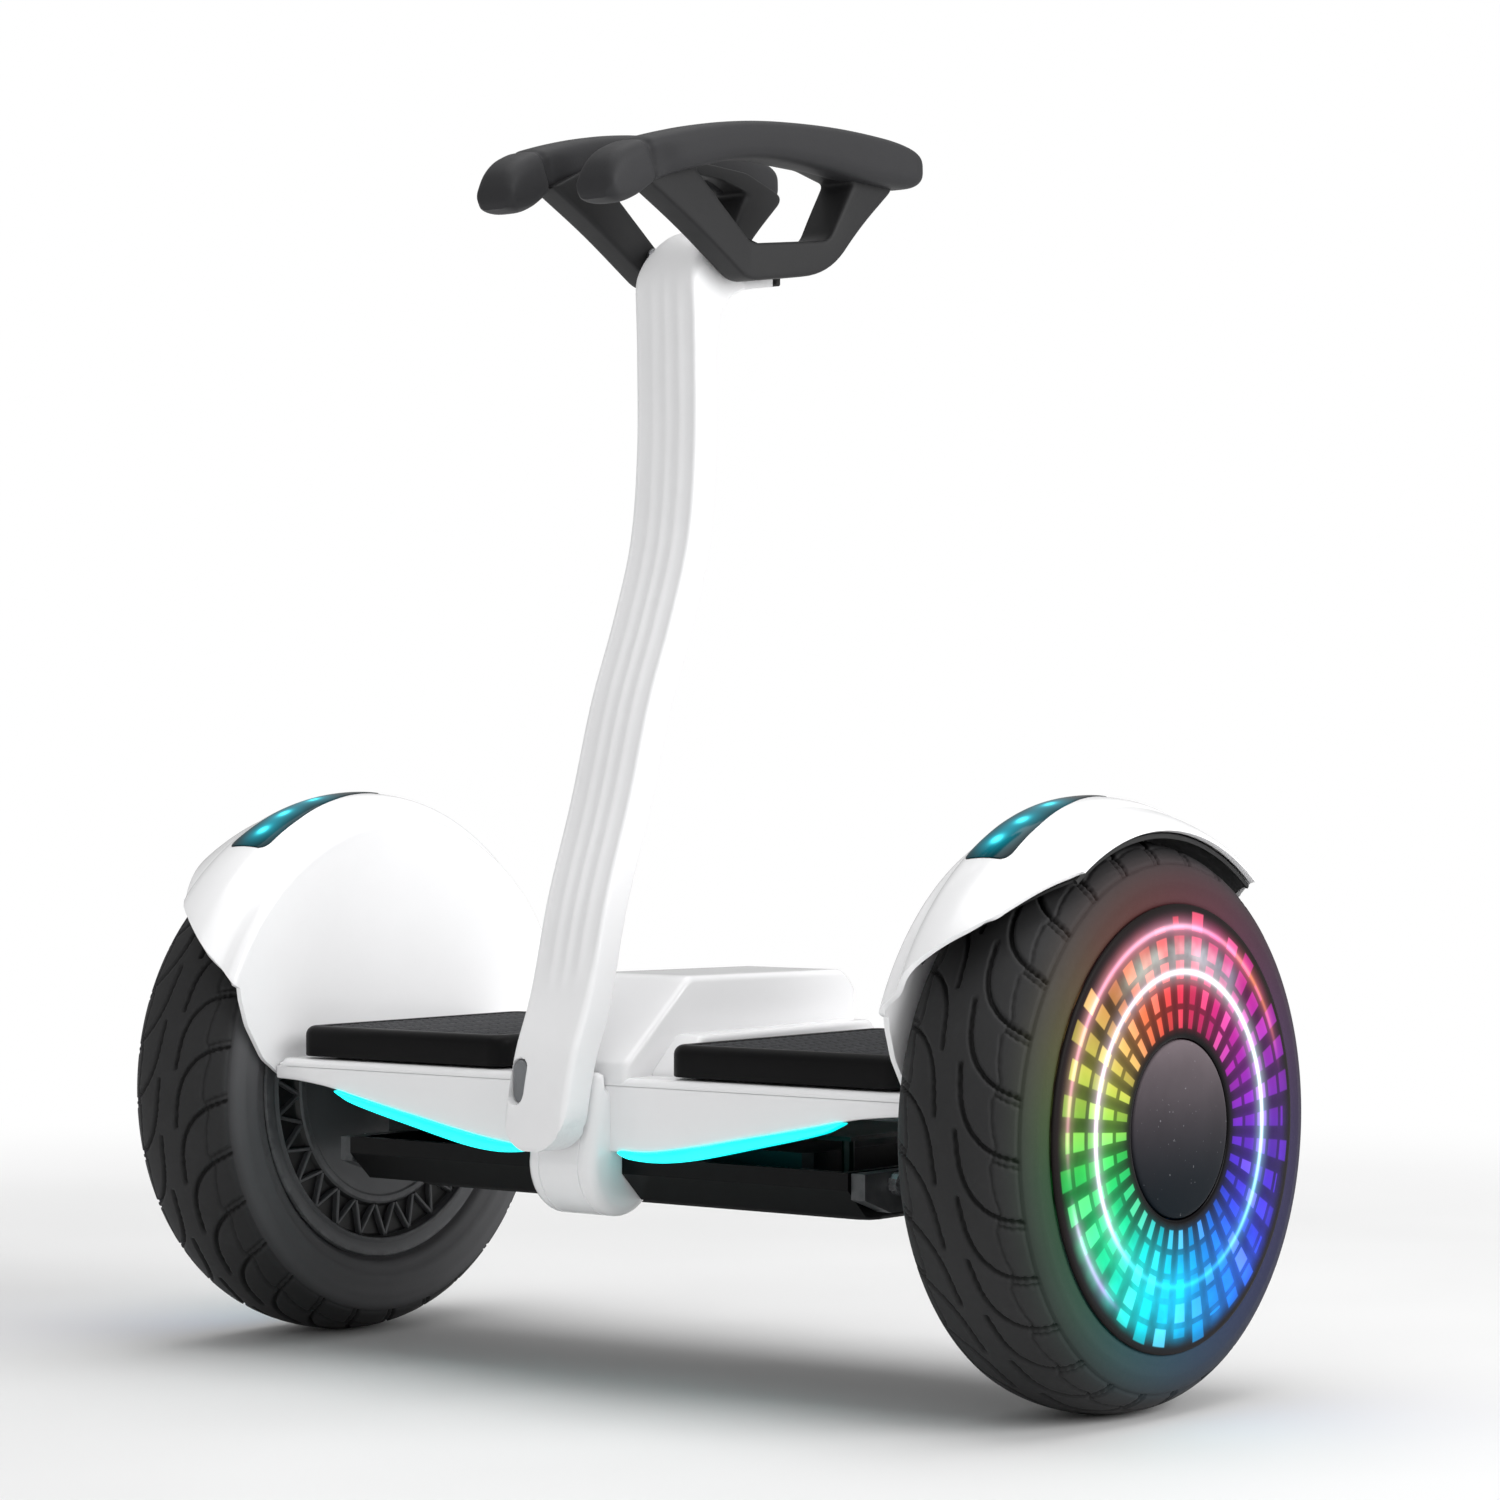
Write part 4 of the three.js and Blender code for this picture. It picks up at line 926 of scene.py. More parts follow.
def lamp(s, side):
    th0, th1, am = -34.6, 5.0, -9.8
    width = lambda t: float(np.interp(t, [0, 0.3, 0.6, 0.85, 1], [12.2, 11, 8.2, 4.2, 1.2]))
    def band(name, grow, hi, mat, nodes, drop, dome):
        nu, nt_ = 25, 70
        verts, faces = [], []
        ts = np.linspace(0, 1, nt_)
        for t in ts:
            # the front edge is rounded, the rear runs out to a tip
            e = min(1.0, math.sqrt(max(0.0, 1 - (1 - min(t / 0.07, 1)) ** 2)) * 0.25 + 0.75) if t < 0.07 else 1.0
            w = width(t) * e + grow
            th = rad(th0 - grow * 0.4 + (th1 - th0 + grow * 0.8) * t)
            for u in np.linspace(-1, 1, nu):
                a = am + u * w
                edge = max(0.0, (abs(u) - 0.86) / 0.14)
                h = hi - 0.25 * edge**2 + dome * (1 - u * u)
                verts.append(on_wheel(s, a, crown_r(a) + h, th))
        nb = len(verts)
        for t in ts:
            e = min(1.0, math.sqrt(max(0.0, 1 - (1 - min(t / 0.07, 1)) ** 2)) * 0.25 + 0.75) if t < 0.07 else 1.0
            w = width(t) * e + grow
            th = rad(th0 - grow * 0.4 + (th1 - th0 + grow * 0.8) * t)
            for u in np.linspace(-1, 1, nu):
                a = am + u * w
                verts.append(on_wheel(s, a, crown_r(a) - drop, th))
        faces = grid_faces(nt_, nu) + [tuple(reversed(q)) for q in grid_faces(nt_, nu, base=nb)]
        for i in range(nt_ - 1):
            for j in (0, nu - 1):
                faces.append((i * nu + j, (i + 1) * nu + j, nb + (i + 1) * nu + j, nb + i * nu + j))
        for j in range(nu - 1):
            for i in (0, nt_ - 1):
                faces.append((i * nu + j, i * nu + j + 1, nb + i * nu + j + 1, nb + i * nu + j))
        return mk(name, verts, faces, mat, "base", nodes, sharp=50)
    band("lamp_lens_fine_" + side, 0.0, 0.42, lamp_material(s), ["lamp_lens_" + side], 1.6, 0.12)
    band("lamp_seal_" + side, 0.55, 0.10, BLACK_MATTE, (), 1.2, 0.0)


def liner(s, side):
    topc = hermite([[-20, 139.2], [-15, 141.6], [-8, 142.3], [0, 141.2], [10, 137.9], [20, 133.9], [27, 130.6]], 5)
    cols = 70

    def span(a):
        """Angles of one row, kept inside the fender's own ends."""
        lo, hi = -sweep_half(a) + front_short(a) + 2.2, sweep_half(a) - rear_short(a) - 1.6
        return np.radians(np.linspace(lo, hi, cols))

    rows = []
    for a, r in topc:
        th = span(a)
        rows.append(np.column_stack([np.full(cols, s * (T + a)), r * np.sin(th), R + r * np.cos(th)]))
    # a turned-down lip on the outboard edge
    a, r = topc[-1]
    for da, dr in ((0.9, -0.5), (1.2, -1.6), (1.0, -2.6)):
        th = span(a)
        rows.append(np.column_stack([np.full(cols, s * (T + a + da)), (r + dr) * np.sin(th), R + (r + dr) * np.cos(th)]))
    ob = mk("fender_liner_fine_" + side, np.array(rows), grid_faces(len(rows), cols), BLACK_MATTE, None, (), sharp=50)
    bm = bmesh.new()
    bm.from_mesh(ob.data)
    bmesh.ops.recalc_face_normals(bm, faces=bm.faces)
    if sum((f.normal.z * f.calc_area() for f in bm.faces), 0.0) < 0:
        bmesh.ops.reverse_faces(bm, faces=bm.faces)
    bm.to_mesh(ob.data)
    bm.free()
    m = ob.modifiers.new("wall", "SOLIDIFY")
    m.thickness = 1.6 * MM
    m.offset = -1.0
    bpy.context.view_layer.update()
    apply_modifiers(ob)
    shade(ob, 40)
    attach(ob, "base")
    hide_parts("fender_liner_" + side)


# ------------------------------------------------------------------ deck
LOWER = [[25, 113.2], [42, 113.6], [70, 117.6], [105, 124], [140, 129.4], [153, 131.5], [178, 134.4], [192, 135]]


def rounded_prism(outline, half, r, n=5, mid=1, groove=()):
    """Prism along its station axis with rounded ends; the outline is inset by r there."""
    xs, table = cap_edges(half, r, n, mid, groove)
    return xs, lambda x: table[round(x, 6)]


def deck():
    low = hermite(LOWER, 6)
    # the top is a slab whose upper edge is rounded all round
    o = rounded([[-191.6, -92], [191.6, -92], [191.6, 92], [-191.6, 92]], 4.0, 8)
    o = resample(o, step=3.0, closed=True)
    e = 3.4
    zs = [141.0, 141.3] + [145.0 - e + e * math.sin(rad(a)) for a in (0, 15, 30, 45, 60, 75, 90)]
    table = {round(z, 6): e * (1 - math.sqrt(max(0.0, 1 - max(0.0, (z - 145.0 + e) / e) ** 2))) for z in zs}
    v, f = layered(o, zs, lambda z: table[round(z, 6)], lambda z, p: (p[0], p[1], z))
    mk("deck_top", v, f, WHITE, "base", ["deck_shell"], sharp=40)
    # front and rear walls hang from it, with the wavy lower edge
    for end, name in ((-1, "deck_front_wall"), (1, "deck_rear_wall")):
        right = [(x, z) for x, z in low if x < 191.5] + [(191.6, 135.0)]
        xw = np.array([q[0] for q in right])
        zw = np.array([q[1] for q in right])
        gx = np.r_[np.linspace(-191.6, -25, 60), np.linspace(25, 191.6, 60)]
        gz = np.interp(np.abs(gx), xw, zw) - np.interp(np.abs(gx), [25, 110, 150, 160], [2.4, 2.4, 0.5, 0.0])
        verts, faces = [], []
        # section of the wall from the inner top, down, round the edge and up the outer face
        for x, z in zip(gx, gz):
            for yy, zz in ((88.4, 141.2), (88.4, z + 0.9), (88.7, z + 0.3), (89.3, z), (91.1, z), (91.7, z + 0.3), (92.0, z + 0.9), (92.0, z + 2.2), (92.0, (z + 141.2) / 2), (92.0, 139.8), (92.0, 141.2)):
                verts.append((x, end * yy, zz))
        faces = grid_faces(len(gx), 11, wrap_cols=True)
        faces += [tuple(range(11)), tuple(range((len(gx) - 1) * 11, len(gx) * 11))]
        mk(name, verts, faces, WHITE, "base", (), sharp=40)

    # raised centre tunnel with its own rounded side edges
    side = rounded([[-92.0, 141], [-92.0, 151.3], [-45, 190], [77, 188.5], [87, 180], [87, 141]], [0, 3, 10, 9, 7, 0], 6)
    side = resample(side, step=2.0, closed=True)
    xs, inset = rounded_prism(side, 30, 3.4, 5, 3)
    v, f = layered(side, xs, inset, lambda x, p: (x, p[0], max(p[1], 142.0)))
    ob = mk("deck_tunnel", v, f, WHITE, "base", (), sharp=40)
    # low plinth round the tunnel foot, between the two pads
    side = rounded([[-74.0, 141], [-73.0, 146.4], [-55, 163.0], [79, 164.4], [84, 158], [84, 141]], [0, 3, 7, 6, 4, 0], 6)
    side = resample(side, step=2.0, closed=True)
    xs, inset = rounded_prism(side, 45.2, 2.6, 5, 3)
    v, f = layered(side, xs, inset, lambda x, p: (x, p[0], max(p[1], 142.0)))
    mk("deck_plinth", v, f, WHITE, "base", (), sharp=40)


def keel():
    pts = [[-105, 105], [-104.2, 112], [-102.8, 122], [-101.2, 132], [-99.6, 140.5], [-97.6, 145.6], [-95.4, 147.0], [-92.5, 147.0], [-92.5, 140.8], [-55, 140.8], [-54.5, 105]]
    for i in range(1, 36):
        a = rad(-180 * i / 36)
        pts.append([-79.75 + 25.25 * math.cos(a), 105 + 25.25 * math.sin(a)])
    o = resample(np.array(pts), step=1.3, closed=True)
    xs, inset = rounded_prism(o, 20.4, 6.0, 8, 4, groove=((11.8, 0.45, 0.55),))
    v, f = layered(o, xs, inset, lambda x, p: (x, p[0], p[1]))
    ob = mk("front_keel_fine", v, f, WHITE, None, (), sharp=48)
    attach(ob, "base")
    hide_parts("front_keel")


def strip(s, side):
    pts = [[25, 110.6], [28, 108.9], [33, 107.7], [46, 107.0], [60, 107.9], [74, 110.1], [105, 116.7], [130, 122.2], [143, 125.6], [149, 128.2], [152.8, 130.2], [152.0, 130.7], [140, 128.2], [105, 121.9], [70, 115.2], [46, 111.7], [34, 111.4], [27, 111.6]]
    o = hermite(pts, 4, closed=True)
    o[:, 0] *= s
    ys, table = cap_edges(3.25, 0.9, 3, 1)
    v, f = layered(o, ys, lambda y: table[round(y, 6)], lambda y, p: (p[0], -90.25 + y, p[1]))
    mk("led_strip_fine_" + side, v, f, STRIP, "base", ["led_strip_" + side], sharp=50)


def foot_pad(s, side):
    """Moulded rubber mat: rounded edge, smooth border and a field of raised grip bars."""
    x0, x1, y0, y1 = 50.0, 181.0, -88.0, 74.0
    z0, z1 = 146.2, 161.0
    cx, cy = (x0 + x1) / 2, (y0 + y1) / 2
    hx, hy, rr = (x1 - x0) / 2, (y1 - y0) / 2, 9.0

    def ring_at(inset, n=16):
        pts = []
        r = max(rr - inset, 0.6)
        for qx, qy, a0 in ((1, 1, 0), (-1, 1, 90), (-1, -1, 180), (1, -1, 270)):
            for i in range(n + 1):
                a = rad(a0 + 90 * i / n)
                pts.append((cx + qx * (hx - inset - r) + r * math.cos(a), cy + qy * (hy - inset - r) + r * math.sin(a)))
        return pts

    prof = [(0.8, z0), (0.25, z0 + 0.25), (0.0, z0 + 0.8), (0.0, z1 - 4.6)]
    prof += [(4.6 * (1 - math.cos(rad(a))), z1 - 4.6 + 4.6 * math.sin(rad(a))) for a in (12, 24, 36, 48, 60, 72, 82, 90)]
    prof += [(7.0, z1), (7.5, z1 - 0.25), (7.9, z1 - 0.95)]
    verts, per = [], None
    for inset, z in prof:
        p = ring_at(inset)
        per = len(p)
        verts += [(s * x, y, z) for x, y in p]
    faces = grid_faces(len(prof), per, wrap_cols=True)
    faces.append(tuple(range(per)))
    tread_of = [0.0] * len(verts)
    # recessed floor with grip bars laid in a herringbone
    ix = np.linspace(x0 + 8.3, x1 - 8.3, 110)
    iy = np.linspace(y0 + 8.3, y1 - 8.3, 140)
    GX, GY = np.meshgrid(ix, iy, indexing="ij")
    u = (GX - cx) / 11.0
    col = np.floor(u)
    sgn = np.where(col % 2 == 0, 1.0, -1.0)
    fu = u - col
    w = (GY - cy) / 6.4 + sgn * (fu - 0.5) * 0.95
    fw = np.abs(w - np.floor(w) - 0.5)
    bar = (1 - smooth01(fw, 0.17, 0.29)) * smooth01(fu, 0.05, 0.16) * (1 - smooth01(fu, 0.84, 0.95))
    border = np.minimum.reduce([GX - ix[0], ix[-1] - GX, GY - iy[0], iy[-1] - GY])
    bar = bar * smooth01(border, 1.0, 2.4)
    H = z1 - 0.95 + 0.95 * bar
    base = len(verts)
    verts += [(s * x, y, z) for x, y, z in zip(GX.ravel(), GY.ravel(), H.ravel())]
    tread_of += list((0.35 + 0.65 * bar).ravel() * smooth01(border, 0.0, 1.5).ravel())
    faces += grid_faces(len(ix), len(iy), base=base)
    # a narrow ledge joins the rounded border to the field
    ob = mk("foot_pad_fine_" + side, verts, faces, PAD, None, (), sharp=50, fix=False)
    bm = bmesh.new()
    bm.from_mesh(ob.data)
    bmesh.ops.triangle_fill(bm, use_beauty=True, use_dissolve=False, edges=[e for e in bm.edges if e.is_boundary], normal=(0, 0, 1))
    bmesh.ops.recalc_face_normals(bm, faces=bm.faces)
    bm.to_mesh(ob.data)
    bm.free()
    shade(ob, 50)
    at = ob.data.attributes.new("tread", "FLOAT", "POINT")
    at.data.foreach_set("value", np.array(tread_of, np.float32))
    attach(ob, "pad_" + side)
    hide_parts("foot_pad_" + side)


# ------------------------------------------------------------------ column
FRONT = np.array([[-125, 112], [-121, 135], [-115, 158], [-105, 182], [-93, 226], [-76, 272], [-61, 319], [-45, 357], [-32, 395], [-27, 438], [-27, 486], [-28, 514]], float)
NECK = [[-26.5, 526], [-20.5, 537], [-10, 543.6], [1, 542], [9, 535.5], [36, 530.4], [36, 523.4], [12, 518], [1.5, 512], [-6, 503]]


def column():
    fr = hermite(FRONT, 8)
    nb = normals2(fr, closed=False)
    if nb[0][0] < 0:
        nb = -nb
    bk = fr[: -8] + nb[: -8] * 18.0
    head = hermite(np.vstack([FRONT[-2:], NECK[:5]]), 8)[8:]
    tongue = rounded(np.array([head[-1], [36, 530.4], [36, 523.4], [12, 518.0], [1.5, 512.0], [-6, 503.0], bk[-1]]), [0, 1.2, 1.2, 6, 8, 8, 0], 5, closed=False)

    fine_z = np.r_[np.arange(131.0, 155.5, 0.7), 158.0, 161.5]

    def outline(zb):
        lo = max(zb, FRONT[0, 1])
        zf = np.r_[np.linspace(lo, 130.5 if zb < 130.4 else 130.6, 12)[:-1], fine_z, np.arange(165, 514, 6.0), 514.0]
        front = np.stack([np.interp(zf, fr[:, 1], fr[:, 0]), zf], 1)
        lob = max(zb, bk[0, 1])
        zk = np.r_[np.linspace(lob, 165, 16)[:-1], np.arange(165, bk[-1, 1] - 3, 6.0)]
        back = np.stack([np.interp(zk, bk[:, 1], bk[:, 0]), zk], 1)[::-1]
        return np.vstack([front, head[1:], tongue[1:], back]), len(zf)

    r_edge = 3.2
    base_x = list(np.linspace(0, 18.5 - r_edge, 19)) + [18.5 - r_edge + r_edge * math.sin(math.pi / 2 * i / 6) for i in range(7)]
    halves = sorted(set(round(x, 4) for x in base_x))
    xs = sorted([-h for h in halves if h > 0 and not 7.6 < h < 18.0] + list(np.arange(-18.0, -7.5, 0.45)) + halves)
    verts, caps = [], []
    n = None
    for x in xs:
        zb = 130 - math.sqrt(max(0.0, 18.5**2 - x * x))
        o, nf = outline(zb)
        nn = normals2(o)
        if area2(o) < 0:
            nn = -nn
        over = max(0.0, (abs(x) - (18.5 - r_edge)) / r_edge)
        d = r_edge * (1 - math.sqrt(max(0.0, 1 - over * over)))
        # three shallow ridges run down the front face
        ridge = 0.0
        for c, w, hgt in ((-7.2, 2.6, 0.9), (0.6, 2.4, 1.1), (8.4, 2.6, 0.95)):
            ridge += hgt * math.exp(-((x - c) / w) ** 2)
        valley = 1.15
        z = o[:, 1]
        on_front = (nn[:, 0] > 0.55) & (o[:, 0] < 6) & (z > 118)
        fade = smooth01(z, 178, 210) * (1 - smooth01(z, 500, 530))
        off = on_front * fade * ((valley - ridge) if over == 0 else valley * (1 - over))
        # the recess that the latch button sits in
        zc = np.clip(z, 143 - 5.7, 143 + 5.7)
        dist = np.hypot(x + 13.0, z - zc) - 4.55
        hollow = (1 - smooth01(dist, -0.35, 0.45)) * (np.arange(len(o)) < nf)
        q = clean_inset(o, nn, d) + nn * off[:, None]
        q[:, 0] += hollow * (-112.6 - q[:, 0])
        # the head is rounded from side to side
        q[:, 1] -= smooth01(q[:, 1], 508, 545) * 10.0 * (abs(x) / 18.5) ** 2.6
        n = len(o)
        if x in (xs[0], xs[-1]):
            caps.append(q)
        verts += [(x, p[0], p[1]) for p in q]
    faces = grid_faces(len(xs), n, wrap_cols=True)
    faces += cap_faces(caps[0], 0) + cap_faces(caps[1], (len(xs) - 1) * n)
    mk("column_fine", verts, faces, WHITE_SATIN, "steering", ["column_tube"], sharp=44)
    k = 24

    # latch button with a dished face
    o = np.array([(-13 + 4.1 * math.cos(math.pi * i / k), 143 + 5.7 + 4.1 * math.sin(math.pi * i / k)) for i in range(k + 1)]
                 + [(-13 + 4.1 * math.cos(math.pi + math.pi * i / k), 143 - 5.7 + 4.1 * math.sin(math.pi + math.pi * i / k)) for i in range(k + 1)])
    c = o.mean(0)
    verts, rings = [], [(0.0, -111.6), (0.0, -116.1), (0.3, -116.6), (0.9, -116.7), (1.6, -116.1), (2.9, -115.9)]
    for inset, y in rings:
        sc = np.array([1 - inset / 4.1, 1 - inset / 9.8])
        verts += [(c[0] + (p[0] - c[0]) * sc[0], y, c[1] + (p[1] - c[1]) * sc[1]) for p in o]
    n = len(o)
    faces = grid_faces(len(rings), n, wrap_cols=True) + [tuple(range(n)), tuple(range((len(rings) - 1) * n, len(rings) * n))]
    mk("latch_button_fine", verts, faces, BUTTON, "latch", ["latch_button"], sharp=40)


# ------------------------------------------------------------------ handle frames
BAR_TOP = [[-117.0, 549.5], [-116.3, 556.5], [-112.6, 564.6], [-104.6, 571.0], [-86, 577.8], [-50, 587], [-17, 592.5], [15, 595.3], [50, 596.5], [82, 595.6], [97, 593.9], [106, 591.2], [111.4, 587.6], [113.1, 584]]
BAR_LOW = [[-115.6, 545.8], [-106, 544.6], [-95, 548.4], [-84, 555.2], [-70, 561], [-52, 566.4], [-28, 572.4], [0, 575.6], [35, 575], [72, 572.6], [97, 572.2], [105.0, 573.2], [110.6, 576.9], [112.8, 581.5]]
LOOP_IN = np.array([[-90, 20.5], [-6, 21.3], [60, 22], [110, 23.5]])
LOOP_OUT = np.array([[-90, 35], [-6, 35.5], [60, 43], [110, 46.5]])


def superellipse(n, e):
    t = np.linspace(0, 2 * math.pi, n, endpoint=False)
    c, s_ = np.cos(t), np.sin(t)
    return np.sign(c) * np.abs(c) ** (2 / e), np.sign(s_) * np.abs(s_) ** (2 / e)


def handle(s, side):
    top = resample(hermite(BAR_TOP, 8), 230)
    low = resample(hermite(BAR_LOW, 8), 230)
    cx, cz = superellipse(60, 3.6)
    rx, rz = superellipse(60, 3.3)
    verts = []
    front_c = (top[0] + low[0]) / 2
    rear_c = (top[-1] + low[-1]) / 2
    for t, l in zip(top, low):
        c = (t + l) / 2
        h = (t - l) / 2
        df, dr = float(np.linalg.norm(c - front_c)), float(np.linalg.norm(c - rear_c))
        w = 11.5 * (0.62 + 0.38 * (1 - (1 - min(df / 5.5, 1)) ** 2.2)) * (0.25 + 0.75 * math.sqrt(max(0.0, 1 - (1 - min(dr / 11.0, 1)) ** 2)))
        yy = c[0]
        # the thumb cap ends in a groove, and the side of the bar is hollowed behind it
        groove = math.exp(-((yy + 87.0) / 1.9) ** 2)
        scoop = math.exp(-((yy + 80.0) / 9.0) ** 2) if yy > -87 else math.exp(-((yy + 87.0) / 2.6) ** 2) * 0.55
        x_mid = 37.7 + 0.066 * yy
        k = smooth01(-yy, 88.0, 110.0)
        for a, b in zip(cx * (1 - k) + rx * k, cz * (1 - k) + rz * k):
            low_w = smooth01(0.75 - b, 0.0, 1.2)
            ww = w * (1 - 0.15 * groove - 0.30 * scoop * low_w)
            p = c + h * b * (1 - 0.09 * groove)
            verts.append((s * (x_mid + a * ww), p[0], p[1]))
    n = len(cx)
    m = len(verts) // n
    faces = grid_faces(m, n, wrap_cols=True) + [tuple(range(n)), tuple(range((m - 1) * n, m * n))]
    bar = mk("handle_bar_" + side, verts, faces, GRIP, "steering", (), sharp=60)
    # the side loop, an open trapezium under the bar
    outer = [[-84, 559], [-46.5, 541.2], [-6, 518.3], [49, 526], [73.2, 551.4], [100, 574], [68, 583], [0, 585], [-50, 575]]
    window = [[-46, 567.5], [-26, 552.6], [-4, 536.5], [49, 542.8], [58.2, 558.4], [67, 573], [45, 577.3], [0, 577.6], [-30, 572.5]]
    outer_r = [2, 16, 7, 16, 14, 8, 4, 4, 4]
    inner_r = [2.5, 8, 5, 5, 6, 3.5, 3, 3, 3]
    segs_o, segs_i = [], []
    po, pi_ = np.array(outer, float), np.array(window, float)

    def edges(p, radii, cnt):
        """Rounded closed polygon cut into one run of cnt samples for each corner to the next."""
        out = []
        kk = len(p)
        for i in range(kk):
            a, b, c2, d2 = p[i - 1], p[i], p[(i + 1) % kk], p[(i + 2) % kk]
            seg = []
            ln = np.linalg.norm(c2 - b)
            t0 = min(radii[i], 0.45 * ln) / ln
            t1 = 1 - min(radii[(i + 1) % kk], 0.45 * ln) / ln
            # half arc leaving corner i, straight, half arc reaching the next
            la = min(radii[i], 0.45 * np.linalg.norm(a - b)) / np.linalg.norm(a - b)
            ld = min(radii[(i + 1) % kk], 0.45 * np.linalg.norm(d2 - c2)) / np.linalg.norm(d2 - c2)
            pin, pout = b + (a - b) * la, b + (c2 - b) * t0
            qin, qout = b + (c2 - b) * t1, c2 + (d2 - c2) * ld
            q = max(3, cnt // 4)
            for j in range(q):
                w = 0.5 + 0.5 * j / q
                seg.append((1 - w) ** 2 * pin + 2 * w * (1 - w) * b + w * w * pout)
            for j in range(cnt - 2 * q):
                w = j / (cnt - 2 * q)
                seg.append(pout * (1 - w) + qin * w)
            for j in range(q):
                w = 0.5 * j / q
                seg.append((1 - w) ** 2 * qin + 2 * w * (1 - w) * c2 + w * w * qout)
            out += seg
        return np.array(out)

    o = edges(po, outer_r, 16)
    i_ = edges(pi_, inner_r, 16)
    # the trailing lower edge bows out behind the strut
    ca, cb = superellipse(44, 9.0)
    verts = []
    for a, b in zip(o, i_):
        mid_ = (a + b) / 2
        half = (a - b) / 2
        for p, q in zip(ca, cb):
            pt = mid_ + half * q
            xi = float(np.interp(pt[0], LOOP_IN[:, 0], LOOP_IN[:, 1]))
            xo = float(np.interp(pt[0], LOOP_OUT[:, 0], LOOP_OUT[:, 1]))
            verts.append((s * ((xi + xo) / 2 + p * (xo - xi) / 2), pt[0], pt[1]))
    n = len(ca)
    faces = grid_faces(len(o), n, wrap_rows=True, wrap_cols=True)
    loop = mk("handle_loop_" + side, verts, faces, FRAME, "steering", ["handle_frame_" + side], sharp=60)


def bolts():
    for name, (y, z) in (("handle_bolt_front", (-11, 533)), ("handle_bolt_rear", (0, 530))):
        n = 32
        prof = [(0.02, -21.0), (1.6, -20.9), (1.9, -20.2), (2.3, -20.2), (2.6, -20.9), (3.4, -20.6), (4.2, -19.8), (4.3, -18.8), (2.6, -18.8), (2.6, 18.8), (4.3, 18.8), (4.2, 19.8), (3.4, 20.6), (2.6, 20.9), (2.3, 20.2), (1.9, 20.2), (1.6, 20.9), (0.02, 21.0)]
        th = np.linspace(0, 2 * math.pi, n, endpoint=False)
        v = np.vstack([np.stack([np.full(n, x), y + r * np.cos(th), z + r * np.sin(th)], 1) for r, x in prof])
        mk(name + "_fine", v, grid_faces(len(prof), n, wrap_cols=True), STEEL, "steering", [name], sharp=35)


def knob():
    n = 40
    prof = [(0.02, 534.5), (6.4, 534.5), (6.6, 535.5), (6.6, 538.6), (6.2, 539.2), (6.0, 539.9), (5.6, 541.6), (4.6, 543.3), (3.0, 544.6), (1.4, 545.2), (0.02, 545.4)]
    th = np.linspace(0, 2 * math.pi, n, endpoint=False)
    v = np.vstack([np.stack([r * np.cos(th), 21.0 + r * np.sin(th), np.full(n, z)], 1) for r, z in prof])
    mk("bracket_lamp_dome", v, grid_faces(len(prof), n, wrap_cols=True), WHITE, "steering", (), sharp=35)


for s, side in ((1, "right"), (-1, "left")):
    tyre(s, side)
    hub(s, side)
    fender(s, side)
    lamp(s, side)
    liner(s, side)
    strip(s, side)
    foot_pad(s, side)
    handle(s, side)
deck()
keel()
column()
bolts()
knob()

# ------------------------------------------------------------------ carried-over CAD nodes
FINISH = {
    "chassis_frame": (BLACK, 1.2), "battery_cover": (BLACK_MATTE, 0.8), "handle_bracket": (BLACK, 0.5), "bracket_end_cap": (BLACK_MATTE, 0.4),
    "charge_socket": (BLACK_MATTE, 0.2), "charge_cap": (BLACK_MATTE, 0.3), "power_button": (BUTTON, 0.25), "steering_shaft": (STEEL, 0.3), "steering_lever": (STEEL, 0.3),
    "bushing_front": (BLACK_MATTE, 0.3), "bushing_rear": (BLACK_MATTE, 0.3), "battery_pack": (BATTERY, 1.0), "control_board": (BOARD, 0.15), "gyro_board": (BOARD, 0.15),
}
for side in ("left", "right"):
    FINISH.update({
        "axle_clamp_" + side: (CLAMP, 0.8), "clamp_bolt_front_" + side: (STEEL, 0.2), "clamp_bolt_rear_" + side: (STEEL, 0.2), "axle_" + side: (STEEL, 0.3),
        "bearing_inner_" + side: (STEEL, 0.3), "bearing_outer_" + side: (STEEL, 0.3), "stator_" + side: (COPPER, 0.6), "magnet_ring_" + side: (MAGNET, 0.4), "foot_switch_" + side: (BLACK_MATTE, 0.4),
    })
for name, (material, width) in FINISH.items():
    ob = NODES[name]
    ob.data.materials.clear()
    ob.data.materials.append(material)
    m = ob.modifiers.new("edge", "BEVEL")
    m.width = width * MM
    m.segments = 3
    m.limit_method = "ANGLE"
    m.angle_limit = rad(40)
    m.harden_normals = False

# ------------------------------------------------------------------ stage
me = bpy.data.meshes.new("floor")
me.from_pydata([(-8, -8, 0), (8, -8, 0), (8, 8, 0), (-8, 8, 0)], [], [(0, 1, 2, 3)])
floor = bpy.data.objects.new("floor", me)
bpy.context.scene.collection.objects.link(floor)
fm, nt, b = base_material("floor_pale", spec=0.2)
v = coords(nt)
x, y, z = split(nt, v)
dist = ((x * x + y * y)._op("SQRT"))
cloud = noise(nt, v, 3.0, 2.0, 0.5)
link(nt, mix(nt, cloud.step(0.3, 0.7), (0.77, 0.77, 0.77), (0.80, 0.80, 0.80)), b.inputs["Base Color"])
link(nt, (cloud * 0.1 + 0.6).clamp(), b.inputs["Roughness"])
em = nt.nodes.new("ShaderNodeEmission")
em.inputs[0].default_value = (1, 1, 1, 1)
em.inputs[1].default_value = 1.0
ms = nt.nodes.new("ShaderNodeMixShader")
link(nt, dist.step(0.55, 1.5), ms.inputs[0])
nt.links.new(b.outputs[0], ms.inputs[1])
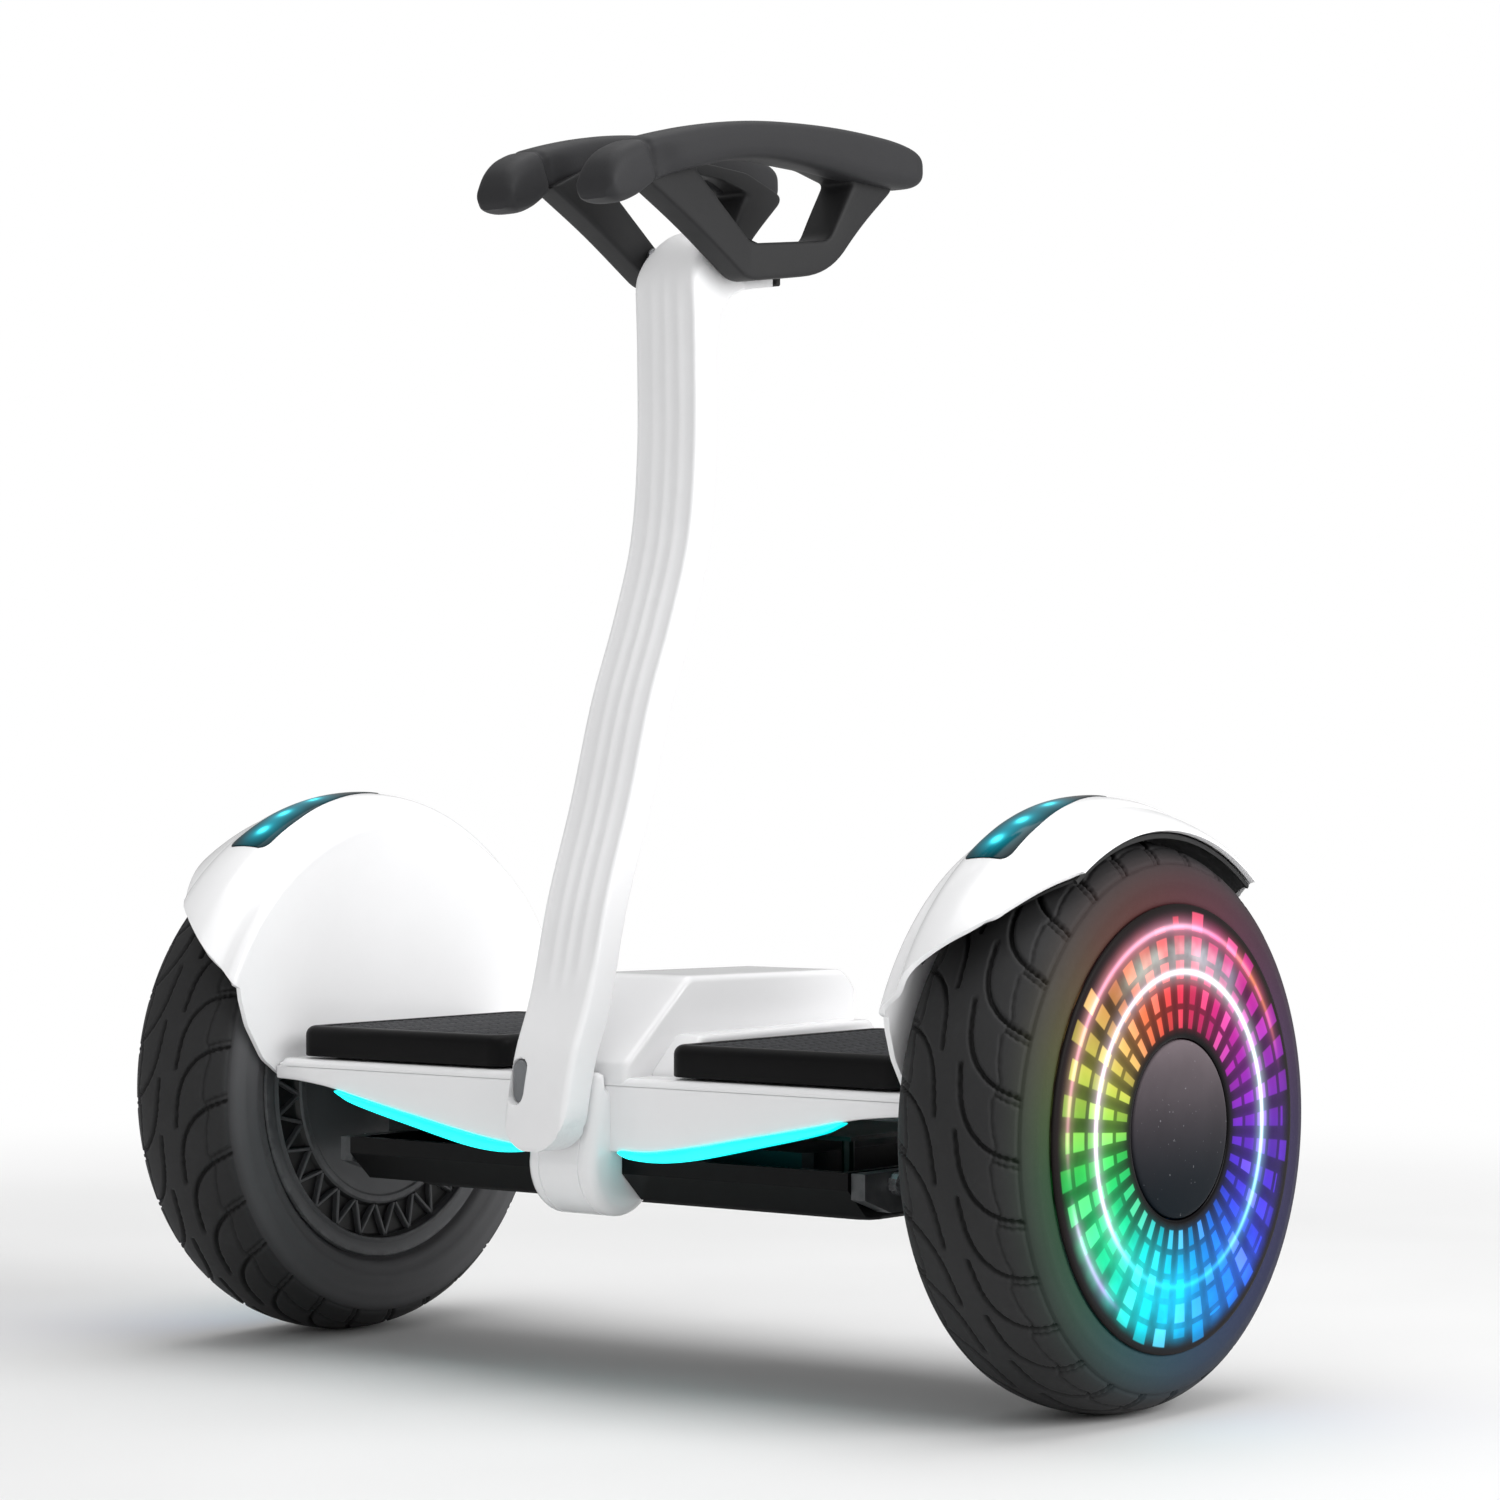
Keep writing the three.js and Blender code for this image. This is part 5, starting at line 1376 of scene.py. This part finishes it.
nt.links.new(em.outputs[0], ms.inputs[2])
nt.links.new(ms.outputs[0], nt.nodes["Material Output"].inputs[0])
me.materials.append(fm)

world = bpy.data.worlds.new("studio")
world.use_nodes = True
wt = world.node_tree
bg = wt.nodes["Background"]
bg.inputs[0].default_value = (1, 1, 1, 1)
bg.inputs[1].default_value = 1.0
sky = wt.nodes.new("ShaderNodeBackground")
tc = wt.nodes.new("ShaderNodeTexCoord")
sp = wt.nodes.new("ShaderNodeSeparateXYZ")
wt.links.new(tc.outputs["Generated"], sp.inputs[0])
lift = E(wt, sp.outputs[2]).step(-0.6, 0.9) * 0.46 + E(wt, sp.outputs[0]).step(-0.8, 0.9) * 0.30 + 0.14
wt.links.new(lift.s, sky.inputs[1])
lp = wt.nodes.new("ShaderNodeLightPath")
wm = wt.nodes.new("ShaderNodeMixShader")
wt.links.new(lp.outputs["Is Camera Ray"], wm.inputs[0])
wt.links.new(sky.outputs[0], wm.inputs[1])
wt.links.new(bg.outputs[0], wm.inputs[2])
wt.links.new(wm.outputs[0], wt.nodes["World Output"].inputs[0])
bpy.context.scene.world = world


def area(name, loc, aim, size, power, color=(1, 1, 1)):
    d = bpy.data.lights.new(name, "AREA")
    d.shape = "RECTANGLE"
    d.size, d.size_y = size
    d.energy = power
    d.color = color
    o = bpy.data.objects.new(name, d)
    o.location = loc
    o.rotation_euler = (Vector(aim) - Vector(loc)).to_track_quat("-Z", "Y").to_euler()
    bpy.context.scene.collection.objects.link(o)
    return o


area("key_right", (2.8, 0.5, 1.3), (0, 0, 0.25), (2.0, 1.8), 65)
area("top", (0.0, 0.2, 2.6), (0, 0, 0.2), (2.4, 2.4), 36)
area("front_fill", (-0.9, -2.6, 1.0), (0, 0, 0.3), (1.6, 1.6), 3.5)

cam = bpy.data.cameras.new("photo_view")
cam.lens = 99.44
cam.sensor_width = 36.0
cam.clip_start = 0.01
cam.clip_end = 50
cam_ob = bpy.data.objects.new("photo_view", cam)
az, pitch = rad(37.616), rad(0.271)
fwd = Vector((-math.sin(az) * math.cos(pitch), math.cos(az) * math.cos(pitch), math.sin(pitch)))
cam_ob.location = (1.23452, -1.56229, 0.28641)
cam_ob.rotation_euler = fwd.to_track_quat("-Z", "Y").to_euler()
bpy.context.scene.collection.objects.link(cam_ob)
bpy.context.scene.camera = cam_ob
bpy.context.scene.view_settings.view_transform = "Standard"
bpy.context.scene.view_settings.look = "None"
